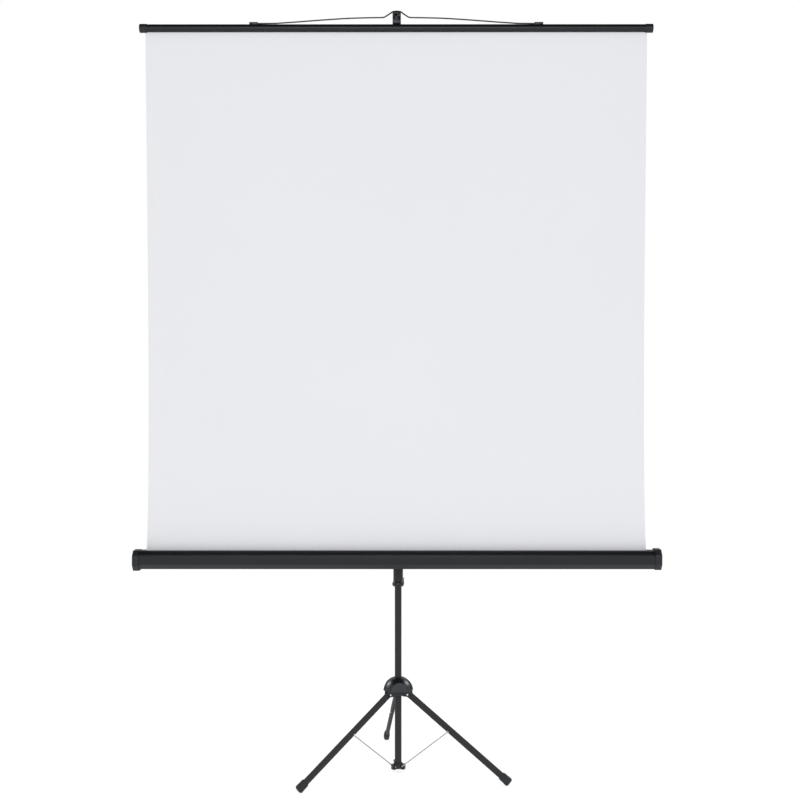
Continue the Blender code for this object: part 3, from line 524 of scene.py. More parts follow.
def plate(
    name: str,
    outlines: Sequence[Sequence[Pair]],
    low: float,
    high: float,
    place: Matrix,
    plane: Plane = Plane.XY,
    edge: float = 0.0,
) -> bpy.types.Object:
    """A straight piece: outlines in millimetres, the later ones being holes, run from low to high.

    Args:
        name: the piece's name.
        outlines: closed outlines.
        low: where the piece starts along its own direction.
        high: where it ends.
        place: where the piece's own axes lie.
        plane: the plane of the outlines.
        edge: the rounding of its end edges.

    Returns:
        The mesh object.
    """
    curve = bpy.data.curves.new(name, "CURVE")
    curve.dimensions = "2D"
    curve.fill_mode = "BOTH"
    curve.extrude = ((high - low) / 2 - edge) * MM
    curve.bevel_depth = edge * MM
    curve.bevel_resolution = 2
    curve.offset = -edge * MM
    for outline in outlines:
        spline = curve.splines.new("POLY")
        spline.points.add(len(outline) - 1)
        for point, (first, second) in zip(spline.points, outline):
            point.co = (first * MM, second * MM, 0.0, 1.0)
        spline.use_cyclic_u = True
    return settled(linked(name, curve), place @ plane.matrix @ shift(z=(low + high) / 2))


def rod(name: str, points: Sequence[Triple], radius: float, place: Matrix) -> bpy.types.Object:
    """A round wire through points in millimetres, with closed ends.

    Args:
        name: the piece's name.
        points: the points of its centre line.
        radius: the wire's radius.
        place: where the piece's own axes lie.

    Returns:
        The mesh object.
    """
    curve = bpy.data.curves.new(name, "CURVE")
    curve.dimensions = "3D"
    curve.bevel_depth = radius * MM
    curve.bevel_resolution = 4
    curve.use_fill_caps = True
    spline = curve.splines.new("POLY")
    spline.points.add(len(points) - 1)
    for point, spot in zip(spline.points, points):
        point.co = (*(Vector(spot) * MM), 1.0)
    return settled(linked(name, curve), place)


def loft(name: str, rings: Sequence[Sequence[Triple]], place: Matrix) -> bpy.types.Object:
    """A closed skin over rings of points in millimetres, all with as many points.

    Args:
        name: the piece's name.
        rings: the rings, in order.
        place: where the piece's own axes lie.

    Returns:
        The mesh object.
    """
    bm = bmesh.new()
    rows = [[bm.verts.new(Vector(point) * MM) for point in ring] for ring in rings]
    count = len(rows[0])
    for upper, lower in zip(rows, rows[1:]):
        for first in range(count):
            second = (first + 1) % count
            bm.faces.new((upper[first], upper[second], lower[second], lower[first]))
    bm.faces.new(rows[0])
    bm.faces.new(rows[-1][::-1])
    mesh = bpy.data.meshes.new(name)
    bm.to_mesh(mesh)
    bm.free()
    mesh.transform(place)
    weld(mesh)
    return linked(name, mesh)


def box(name: str, low: Triple, high: Triple, place: Matrix) -> bpy.types.Object:
    """A plain block between two corners in millimetres, used as a cutter or a start."""
    bm = bmesh.new()
    bmesh.ops.create_cube(bm, size=1.0)
    first, second = Vector(low), Vector(high)
    bmesh.ops.scale(bm, vec=second - first, verts=bm.verts)
    bmesh.ops.translate(bm, vec=(first + second) / 2, verts=bm.verts)
    mesh = bpy.data.meshes.new(name)
    bmesh.ops.scale(bm, vec=(MM, MM, MM), verts=bm.verts)
    bm.to_mesh(mesh)
    bm.free()
    mesh.transform(place)
    return linked(name, mesh)


def pin(
    name: str, radius: float, start: float, end: float, place: Matrix, run: Run = Run.Z
) -> bpy.types.Object:
    """A plain cylinder, used as a cutter or a start."""
    return lathe(name, [(0, end), (radius, end), (radius, start), (0, start)], place, run, 48)


def combine(obj: bpy.types.Object, other: bpy.types.Object, how: str = "DIFFERENCE") -> bpy.types.Object:
    """Joins a piece with another shape, or cuts that shape out of it.

    Args:
        obj: the piece.
        other: the other shape, which is then removed.
        how: DIFFERENCE, UNION or INTERSECT.

    Returns:
        The changed piece.
    """
    change = obj.modifiers.new("combine", "BOOLEAN")
    change.operation = how
    change.solver = "EXACT"
    change.object = other
    made = settled(obj)
    bpy.data.objects.remove(other, do_unlink=True)
    return made


def eased(obj: bpy.types.Object, width: float, segments: int = 2, angle: float = 35.0) -> bpy.types.Object:
    """Rounds a piece's sharp edges.

    Args:
        obj: the piece.
        width: the rounding in millimetres.
        segments: the faces across it.
        angle: the least turn of a rounded edge, in degrees.

    Returns:
        The changed piece.
    """
    bevel = obj.modifiers.new("ease", "BEVEL")
    bevel.width = width * MM
    bevel.segments = segments
    bevel.limit_method = "ANGLE"
    bevel.angle_limit = math.radians(angle)
    bevel.use_clamp_overlap = True
    return settled(obj)


def smooth(obj: bpy.types.Object, angle: float = 32.0) -> bpy.types.Object:
    """Shades a piece smooth, up to edges that turn by more than an angle."""
    for face in obj.data.polygons:
        face.use_smooth = True
    obj.data.set_sharp_from_angle(angle=math.radians(angle))
    return obj


def from_node(node: str, name: str, ease: float = 0.0, angle: float = 35.0) -> bpy.types.Object:
    """A welded copy of a model node, its flat faces joined and its edges rounded.

    Args:
        node: the model's node.
        name: the new piece's name.
        ease: the rounding in millimetres, or 0 for none.
        angle: the least turn of a rounded edge, in degrees.

    Returns:
        The mesh object.
    """
    mesh = bpy.data.objects[node].data.copy()
    mesh.materials.clear()
    for attribute in [a for a in mesh.attributes if a.name == "custom_normal"]:
        mesh.attributes.remove(attribute)
    bm = bmesh.new()
    bm.from_mesh(mesh)
    bmesh.ops.remove_doubles(bm, verts=bm.verts, dist=0.01 * MM)
    bmesh.ops.dissolve_limit(bm, angle_limit=math.radians(0.8), verts=bm.verts, edges=bm.edges)
    bm.to_mesh(mesh)
    bm.free()
    obj = linked(name, mesh)
    return eased(obj, ease, 2, angle) if ease else obj


def arc(centre: Pair, radius: float, start: float, end: float, count: int) -> list[Pair]:
    """Points on an arc, from one angle to another in degrees."""
    turns = [math.radians(start + (end - start) * step / count) for step in range(count + 1)]
    return [(centre[0] + radius * math.cos(turn), centre[1] + radius * math.sin(turn)) for turn in turns]


def oval(half_long: float, half_short: float, count: int = 72, power: float = 2.6) -> list[Pair]:
    """A flat-sided oval."""
    points = []
    for step in range(count):
        across, up = (trig(2 * math.pi * step / count) for trig in (math.cos, math.sin))
        first = math.copysign(abs(across) ** (2 / power), across) * half_long
        points.append((first, math.copysign(abs(up) ** (2 / power), up) * half_short))
    return points


def filleted(points: Sequence[Pair], radius: float, steps: int = 5) -> list[Pair]:
    """An open line with its inner corners rounded.

    Args:
        points: the line's corners.
        radius: the radius of the rounding.
        steps: the short straight runs in each rounding.

    Returns:
        The rounded line.
    """
    made = [tuple(points[0])]
    for before, here, after in zip(points, points[1:], points[2:]):
        back, ahead = Vector(before) - Vector(here), Vector(after) - Vector(here)
        half = back.angle(ahead) / 2
        reach = min(radius / math.tan(half), back.length * 0.45, ahead.length * 0.45)
        start = Vector(here) + back.normalized() * reach
        end = Vector(here) + ahead.normalized() * reach
        for step in range(steps + 1):
            share = step / steps
            first = start.lerp(Vector(here), share)
            made.append(tuple(first.lerp(Vector(here).lerp(end, share), share)))
    return [*made, tuple(points[-1])]


def walled(line: Sequence[Pair], wall: float) -> list[Pair]:
    """The closed outline of a sheet that follows an open line, its wall on the left of it."""
    inner = []
    for index, point in enumerate(line):
        here, total = Vector(point), Vector((0.0, 0.0))
        for start, end in ((index - 1, index), (index, index + 1)):
            if start >= 0 and end < len(line):
                along = (Vector(line[end]) - Vector(line[start])).normalized()
                total += Vector((-along.y, along.x))
        narrow = total.length / 2 if 0 < index < len(line) - 1 else 1
        inner.append(tuple(here + total.normalized() * wall / max(0.3, narrow)))
    return [*line, *inner[::-1]]


# Repeats by node trees


class Repeat(ABC):
    """A geometry node tree that repeats a small shape, run once and then made a plain mesh."""

    def __init__(self, sizes: dict[str, tuple[str, object]]) -> None:
        """Starts the tree.

        Args:
            sizes: each named input's socket kind and value.
        """
        self.sizes = sizes
        self.group = bpy.data.node_groups.new(type(self).__name__, "GeometryNodeTree")
        face = self.group.interface
        face.new_socket(name="Shape", in_out="INPUT", socket_type="NodeSocketGeometry")
        self.keys = {}
        for name, (kind, _) in {**sizes, "Finish": ("Material", None)}.items():
            socket = face.new_socket(name=name, in_out="INPUT", socket_type="NodeSocket" + kind)
            self.keys[name] = socket.identifier
        face.new_socket(name="Shape", in_out="OUTPUT", socket_type="NodeSocketGeometry")
        self.tree = Tree(self.group)
        self.given = self.tree.add("NodeGroupInput").outputs
        made = self.grow()
        real = self.tree.add("GeometryNodeRealizeInstances", {"Geometry": made})
        inputs = {"Geometry": real.outputs[0], "Material": self.given["Finish"]}
        done = self.tree.add("GeometryNodeSetMaterial", inputs)
        self.tree.add("NodeGroupOutput", {0: done.outputs[0]})

    @abstractmethod
    def grow(self) -> bpy.types.NodeSocket:
        """Adds the tree's own nodes and gives the socket of its geometry."""

    def run(self, seed: bpy.types.Object, finish: Finish, place: Matrix) -> bpy.types.Object:
        """Runs the tree on an object and makes the result a plain mesh.

        Args:
            seed: the object that holds the small shape.
            finish: the finish that the tree sets.
            place: where the result's own axes lie.

        Returns:
            The mesh object.
        """
        change = seed.modifiers.new("repeat", "NODES")
        change.node_group = self.group
        for name, (_, value) in self.sizes.items():
            change[self.keys[name]] = value
        change[self.keys["Finish"]] = finish.material()
        return settled(seed, place)


class Ring(Repeat):
    """Copies of a shape round the Z axis, each turned outward."""

    def __init__(self, count: int, radius: float, start: float = 0.0) -> None:
        """Sets the ring.

        Args:
            count: how many copies.
            radius: the ring's radius in millimetres.
            start: the first copy's angle in degrees.
        """
        super().__init__({
            "Count": ("Int", count),
            "Radius": ("Float", radius * MM),
            "Start": ("Float", math.radians(start)),
        })

    def grow(self) -> bpy.types.NodeSocket:
        """Places the copies on a circle's points."""
        tree, given = self.tree, self.given
        circle = tree.add("GeometryNodeMeshCircle", {"Vertices": given["Count"], "Radius": given["Radius"]})
        step = tree.math("DIVIDE", 2 * math.pi, given["Count"])
        angle = tree.math("MULTIPLY", tree.add("GeometryNodeInputIndex").outputs[0], step)
        turn = tree.add("ShaderNodeCombineXYZ", {2: angle}).outputs[0]
        inputs = {"Points": circle.outputs[0], "Instance": given["Shape"], "Rotation": turn}
        copies = tree.add("GeometryNodeInstanceOnPoints", inputs).outputs[0]
        start = tree.add("ShaderNodeCombineXYZ", {2: given["Start"]}).outputs[0]
        return tree.add("GeometryNodeTransform", {"Geometry": copies, "Rotation": start}).outputs[0]


class Row(Repeat):
    """Copies of a shape along X, spread evenly about the middle."""

    def __init__(self, count: int, wide: float) -> None:
        """Sets the row.

        Args:
            count: how many copies, at least two.
            wide: the distance from the first copy to the last, in millimetres.
        """
        super().__init__({"Count": ("Int", count), "Wide": ("Float", wide * MM)})

    def grow(self) -> bpy.types.NodeSocket:
        """Places the copies by their index."""
        tree, given = self.tree, self.given
        inputs = {"Count": given["Count"], "Offset": (0.0, 0.0, 0.0)}
        line = tree.add("GeometryNodeMeshLine", inputs).outputs[0]
        gaps = tree.math("SUBTRACT", given["Count"], 1.0)
        share = tree.math("DIVIDE", tree.add("GeometryNodeInputIndex").outputs[0], gaps)
        across = tree.math("MULTIPLY", tree.math("SUBTRACT", share, 0.5), given["Wide"])
        spot = tree.add("ShaderNodeCombineXYZ", {0: across}).outputs[0]
        moved = tree.add("GeometryNodeSetPosition", {"Geometry": line, "Position": spot}).outputs[0]
        inputs = {"Points": moved, "Instance": given["Shape"]}
        return tree.add("GeometryNodeInstanceOnPoints", inputs).outputs[0]


class Coil(Repeat):
    """A wire coil along Z, from its base upward."""

    def __init__(self, turns: float, radius: float, wire: float, height: float) -> None:
        """Sets the coil.

        Args:
            turns: the number of turns.
            radius: the coil's mean radius in millimetres.
            wire: the wire's radius in millimetres.
            height: the coil's length in millimetres.
        """
        super().__init__({
            "Turns": ("Float", turns),
            "Radius": ("Float", radius * MM),
            "Wire": ("Float", wire * MM),
            "Height": ("Float", height * MM),
        })

    def grow(self) -> bpy.types.NodeSocket:
        """Sweeps a circle along a spiral."""
        tree, given = self.tree, self.given
        inputs = {"Resolution": 40, "Rotations": given["Turns"], "Height": given["Height"]}
        inputs |= {"Start Radius": given["Radius"], "End Radius": given["Radius"]}
        line = tree.add("GeometryNodeCurveSpiral", inputs).outputs[0]
        inputs = {"Resolution": 12, "Radius": given["Wire"]}
        ring = tree.add("GeometryNodeCurvePrimitiveCircle", inputs).outputs[0]
        inputs = {"Curve": line, "Profile Curve": ring, "Fill Caps": True}
        return tree.add("GeometryNodeCurveToMesh", inputs).outputs[0]


class DrawnCloth(Repeat):
    """The hanging cloth: a grid whose sides draw in between its ends and whose edges curl forward.

    HANGS is the part of its height that hangs free, and EDGE the share of its half width that curls. The
    powers bring the waist below mid height and round the curl's rise along the edge.
    """

    HANGS = (0.0164, 0.995)
    EDGE = 0.05
    WAIST_POWER, CURL_POWER = 0.62, 0.6

    def __init__(self, half: float, foot: float, head: float, waist: float, curl: float) -> None:
        """Sets the cloth.

        Args:
            half: half its width at the ends, in millimetres.
            foot: the height of its lower end.
            head: the height of its upper end.
            waist: how far each side draws in, at most.
            curl: how far each edge curls forward at mid height.
        """
        super().__init__({
            "Half": ("Float", half * MM),
            "Foot": ("Float", foot * MM),
            "Head": ("Float", head * MM),
            "Waist": ("Float", waist * MM),
            "Curl": ("Float", curl * MM),
        })

    def grow(self) -> bpy.types.NodeSocket:
        """Moves the points of a grid by the cloth's rule."""
        tree, given = self.tree, self.given
        inputs = {"Size X": 2.0, "Size Y": 1.0, "Vertices X": 97, "Vertices Y": 121}
        grid = tree.add("GeometryNodeMeshGrid", inputs)
        spot = tree.add("GeometryNodeInputPosition").outputs[0]
        parts = tree.add("ShaderNodeSeparateXYZ", {0: spot}).outputs
        square = tree.math("MULTIPLY", parts[0], parts[0])
        cube = tree.math("MULTIPLY", square, tree.math("MULTIPLY", parts[0], 0.5))
        across = tree.math("SUBTRACT", tree.math("MULTIPLY", parts[0], 1.5), cube)
        share = tree.math("ADD", parts[1], 0.5)
        tall = tree.math("SUBTRACT", given["Head"], given["Foot"])
        height = tree.math("ADD", given["Foot"], tree.math("MULTIPLY", share, tall))
        inputs = {"Value": share, "From Min": self.HANGS[0], "From Max": self.HANGS[1]}
        climb = tree.add("ShaderNodeMapRange", inputs).outputs[0]
        free, drawn = (
            tree.math("MAXIMUM", tree.math("SINE", tree.math("MULTIPLY", turn, math.pi)), 0.0)
            for turn in (climb, tree.math("POWER", climb, self.WAIST_POWER))
        )
        waist = tree.math("MULTIPLY", drawn, given["Waist"])
        side = tree.math("MULTIPLY", across, tree.math("SUBTRACT", given["Half"], waist))
        past = tree.math("SUBTRACT", tree.math("ABSOLUTE", across), 1 - self.EDGE)
        edge = tree.math("MULTIPLY", tree.math("MAXIMUM", past, 0.0), 1 / self.EDGE)
        bend = tree.math("MULTIPLY", tree.math("POWER", edge, 2.0), given["Curl"])
        curl = tree.math("MULTIPLY", bend, tree.math("POWER", free, self.CURL_POWER))
        forward = tree.math("MULTIPLY", curl, -1.0)
        spot = tree.add("ShaderNodeCombineXYZ", {0: side, 1: forward, 2: height}).outputs[0]
        inputs = {"Geometry": grid.outputs["Mesh"], "Name": "UVMap", "Value": grid.outputs["UV Map"]}
        kinds = {"data_type": "FLOAT2", "domain": "CORNER"}
        mapped = tree.add("GeometryNodeStoreNamedAttribute", inputs, **kinds).outputs[0]
        return tree.add("GeometryNodeSetPosition", {"Geometry": mapped, "Position": spot}).outputs[0]


# Sub-assemblies


def fit(
    obj: bpy.types.Object,
    body: str,
    finish: Finish,
    nodes: Sequence[str],
    angle: float = 32.0,
) -> None:
    """Finishes a piece: its shading, material and body, and the nodes that it stands for.

    Args:
        obj: the piece, with its place in its mesh.
        body: the body that it rides on.
        finish: its finish.
        nodes: the model's nodes that it stands for.
        angle: the least turn of a sharp edge, in degrees.
    """
    smooth(obj, angle)
    obj.data.materials.clear()
    obj.data.materials.append(finish.material())
    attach(obj, body)
    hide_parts(*nodes)
    LOG.info("piece %s on %s, %d faces", obj.name, body, len(obj.data.polygons))


def repaint(nodes: Sequence[str], finish: Finish) -> None:
    """Gives model nodes that stay as they are a better material."""
    for node in nodes:
        obj = bpy.data.objects[node]
        obj.data.materials.clear()
        obj.data.materials.append(finish.material())
        LOG.info("node %s keeps its shape in %s", node, finish.name)


def lipped(radius: float, wall: float, bottom: float, top: float, lip: float = 0.35) -> list[Pair]:
    """The profile of a tube whose end edges are eased."""
    inner = radius - wall
    outside = [(radius - lip, top), (radius, top - lip), (radius, bottom + lip), (radius - lip, bottom)]
    return [*outside, (inner + lip, bottom), (inner, bottom + lip), (inner, top - lip), (inner + lip, top)]


def leg_place(leg: Leg, radius: float, height: float) -> Matrix:
    """The axes of a leg's or stay's pivot: X points outward, Y along the pin."""
    return COLUMN @ swing(TRIPOD_TURN + 90 + leg.value, "Z") @ shift(radius, 0.0, height)


@dataclass
class Column:
    """The fixed column with its foot bracket."""

    radius: float = 10.4
    wall: float = 1.2
    bottom: float = 11.4
    top: float = 1080.0
    tab_low: Triple = (-13.3, -3.2, 22.0)
    tab_high: Triple = (-10.7, 3.2, 35.4)
    rivet_z: float = 32.4
    stay_hole: float = 2.2
    dish: float = 5.2

    def build(self) -> None:
        """Makes and dresses the pieces."""
        shaft = lathe("column_shaft", lipped(self.radius, self.wall, self.bottom, self.top), COLUMN)
        fit(shaft, "column", POWDER_COAT, ["column_tube"])
        fit(self.bracket(), "column", MOULDED, ["spreader"])
        repaint(["column_bush"], GREY_PLASTIC)

    def bracket(self) -> bpy.types.Object:
        """The moulded bracket: a ring with three lugs, and a tab with a rivet on its left."""
        bore, ring = self.radius + 0.3, self.radius + 2.9
        profile = [(0, 9), (ring - 1.4, 9), (ring - 0.4, 9.4), (ring, 10.4), (ring, 25.2), (ring - 0.3, 26.4)]
        profile += [(ring - 1.2, 27), (bore, 27), (bore, 11), (0, 11)]
        body = lathe("foot_bracket", profile, COLUMN)
        for leg in Leg:
            place = leg_place(leg, 0.0, 0.0)
            outline = [(11.6, 7.8), *arc((20.4, 9.9), 2.1, -90, 0, 8), *arc((19.5, 21.6), 3.0, 0, 90, 8)]
            outline += [(11.6, 24.6)]
            body = combine(body, plate("lug", [outline], -6.0, 6.0, place, Plane.XZ, 0.6), "UNION")
        body = combine(body, box("tab", self.tab_low, self.tab_high, COLUMN), "UNION")
        profile = [(0, 14.8), (1.3, 14.7), (2.1, 14.3), (2.6, 13.6), (2.7, 12.6), (0, 12.6)]
        rivet = lathe("tab_rivet", profile, COLUMN @ shift(z=self.rivet_z) @ swing(180, "Z"), Run.X, 40)
        body = combine(body, rivet, "UNION")
        for leg in Leg:
            place = leg_place(leg, 15.0, 17.0)
            body = combine(body, pin("hole", self.stay_hole, -12, 12, place, Run.Y))
            for low, high in ((-8.0, -5.3), (5.3, 8.0)):
                body = combine(body, pin("dish", self.dish, low, high, place, Run.Y))
        return eased(body, 0.25, 2, 40)


@dataclass
class Hub:
    """The sliding hub that holds the legs."""

    radius: float = 46.5
    centre: float = 244.0
    rim: float = 250.0
    bottom: float = 232.5
    flat: float = 38.5
    draft: float = 12.0
    cheek_in: float = 6.55
    cheek_out: float = 10.2

    def build(self) -> None:
        """Makes and dresses the pieces."""
        fit(self.dome(), "hub", MOULDED, ["hub"], 30)
        head, end = self.cheek_out + 0.3, self.cheek_out + 1.9
        profile = [(0, end), (1.3, end - 0.05), (2.3, end - 0.4), (3.0, end - 1.0), (3.1, head), (2.1, head)]
        profile += [(radius, -height) for radius, height in profile[::-1]]
        seed = lathe("hub_pins", profile, Matrix(), Run.Y, 32)
        pins = Ring(3, PIVOT_R, TRIPOD_TURN + 90).run(seed, ZINC, COLUMN @ shift(z=PIVOT_Z))
        fit(pins, "hub", ZINC, ["hub_pin_back", "hub_pin_left", "hub_pin_right"])

    def dome(self) -> bpy.types.Object:
        """The moulded dome: a turned shell with three flats, a core and a pair of cheeks for each leg."""
        profile = [(10.8, 286.2), (12.8, 286.6), (13.2, 287.8)]
        profile += arc((0.0, self.centre), self.radius, 73, 7.4, 30)
        profile += [(45.2, self.rim - 0.4), (44.2, self.rim), (43.0, self.rim + 0.4), (19.5, self.rim + 0.2)]
        profile += [(19.5, 234.5), (18.5, 233.5), (10.8, 233.5)]
        body = lathe("hub_dome", profile, COLUMN, steps=144)
        for leg in Leg:
            inward = leg_place(leg, 0.0, self.rim) @ swing(180, "Z")
            place = inward @ shift(self.flat) @ swing(-self.draft, "Y")
            body = combine(body, box("flat", (0, -60, -30), (30, 60, 60), place))
        for leg in Leg:
            place = leg_place(leg, 0.0, PIVOT_Z)
            low, high = self.bottom - PIVOT_Z, self.rim + 1.5 - PIVOT_Z
            outline = [(16.5, high), (16.5, low + 4), (19.5, low), (37.0, low)]
            outline += arc((36.6, 0.2), 7.4, -75, 25, 12) + [(43.4, high)]
            for side in (-1, 1):
                near, far = sorted((side * self.cheek_in, side * self.cheek_out))
                body = combine(body, plate("cheek", [outline], near, far, place, Plane.XZ), "UNION")
        for leg in Leg:
            body = combine(body, pin("hole", 2.4, -14, 14, leg_place(leg, PIVOT_R, PIVOT_Z), Run.Y))
        return eased(body, 0.5, 2, 38)


@dataclass
class Legs:
    """The three legs with their feet, stays and rivets."""

    angle: float = 54.39
    length: float = 392.0
    deep: float = 20.0
    wide: float = 12.5
    wall: float = 1.3
    foot_start: float = 366.0
    foot_end: float = 398.6
    stay_radius: float = 1.85
    stay_side: float = -8.7
    stay_foot: Pair = (15.0, 17.0)
    stay_head: Pair = (165.4, 139.4)

    def build(self) -> None:
        """Makes and dresses the pieces."""
        for leg in Leg:
            body = f"leg_{leg.word}"
            place = leg_place(leg, PIVOT_R, PIVOT_Z) @ swing(-self.angle, "Y")
            fit(self.tube(leg, place), body, POWDER_COAT, [body])
            fit(self.foot(leg, place), body, RUBBER, [f"foot_{leg.word}"], 40)
            fit(self.rivet(leg, place), body, ZINC, [f"stay_rivet_{leg.word}"])
            fit(self.stay(leg), f"stay_{leg.word}", STAY_STEEL, [f"stay_{leg.word}"])

    @property
    def rivet_spot(self) -> Pair:
        """Where the stay's rivet is on the hanging leg, in (x, z) from the leg's pivot."""
        reach = Vector((self.stay_head[0] - PIVOT_R, self.stay_head[1] - PIVOT_Z))
        turned = math.atan2(reach.x, -reach.y) - math.radians(self.angle)
        return reach.length * math.sin(turned), -reach.length * math.cos(turned)

    def tube(self, leg: Leg, place: Matrix) -> bpy.types.Object:
        """One flat-sided oval tube with its rounded top end and its holes."""
        half_deep, half_wide = self.deep / 2, self.wide / 2
        outlines = [oval(half_deep, half_wide), oval(half_deep - self.wall, half_wide - self.wall)]
        made = plate(f"leg_tube_{leg.word}", outlines, -self.length, half_deep + 1.0, place)
        tip = [(-20, 20), (20, 20), (20, 0), *arc((0, 0), half_deep - 0.02, 0, 180, 28), (-20, 0)]
        made = combine(made, plate("tip", [tip], -10, 10, place, Plane.XZ))
        made = combine(made, pin("hole", 2.45, -10, 10, place, Run.Y))
        x, z = self.rivet_spot
        return combine(made, pin("hole", 2.0, -10, 10, place @ shift(x, 0, z), Run.Y))

    def foot(self, leg: Leg, place: Matrix) -> bpy.types.Object:
        """One rubber foot: a soft-edged cap with a lip and two grip grooves, flat where it stands."""
        start, end = self.foot_start, self.foot_end
        rows = [(start, 0.84), (start + 0.5, 0.88), (start + 1.4, 0.915), (start + 3.0, 0.93)]
        for groove in (start + 9.0, start + 14.0):
            rows += [(groove - 0.9, 0.965), (groove - 0.4, 0.93), (groove + 0.4, 0.93), (groove + 0.9, 0.968)]
        rows += [(end - 8.0, 0.995), (end - 6.0, 0.998), (end - 4.2, 0.975), (end - 2.6, 0.92)]
        rows += [(end - 1.2, 0.83), (end - 0.4, 0.75), (end, 0.66)]
        rings = [[(x, y, -along) for x, y in oval(13.3 * share, 9.75 * share)] for along, share in rows]
        made = loft(f"rubber_foot_{leg.word}", rings, place)
        room = oval(self.deep / 2 + 0.3, self.wide / 2 + 0.3)
        made = combine(made, plate("room", [room], -self.length - 0.3, 5 - start, place))
        floor = box("floor", (200, -40, -40), (400, 40, 0), leg_place(leg, PIVOT_R, 0.0))
        return combine(made, floor)

    def rivet(self, leg: Leg, place: Matrix) -> bpy.types.Object:
        """The domed rivet that the stay hangs on."""
        head = self.wide / 2 + 0.3
        profile = [(0, head + 1.7), (1.1, head + 1.62), (1.9, head + 1.3), (2.5, head + 0.6), (2.7, head)]
        profile += [(1.6, head), (1.6, 0.1 - head), (0, 0.1 - head)]
        x, z = self.rivet_spot
        return lathe(f"stay_rivet_head_{leg.word}", profile, place @ shift(x, 0, z), Run.Y, 40)

    def stay(self, leg: Leg) -> bpy.types.Object:
        """One wire stay, bent through its lug below and flattened to an eye above."""
        reach = Vector(self.stay_head) - Vector(self.stay_foot)
        place = leg_place(leg, *self.stay_foot) @ swing(math.degrees(math.atan2(reach.x, reach.y)), "Y")
        corner = arc((self.stay_side + 2.6, 2.6), 2.6, 270, 180, 10)
        points = [(0, 8.6, 0), *((0, y, z) for y, z in corner), (0, self.stay_side, reach.length - 2.5)]
        made = rod(f"stay_wire_{leg.word}", points, self.stay_radius, place)
        side, thick = self.stay_side, 1.3
        outline = [(0.9, side + thick), (3.5, side + thick), (3.9, side + 0.9), (3.9, side - 0.9)]
        outline += [(3.5, side - thick), (0.9, side - thick)]
        eye = lathe("eye", outline, place @ shift(z=reach.length), Run.Y, 48)
        made = combine(made, eye, "UNION")
        return combine(made, pin("hole", 0.9, side - 3, side + 3, place @ shift(z=reach.length), Run.Y))


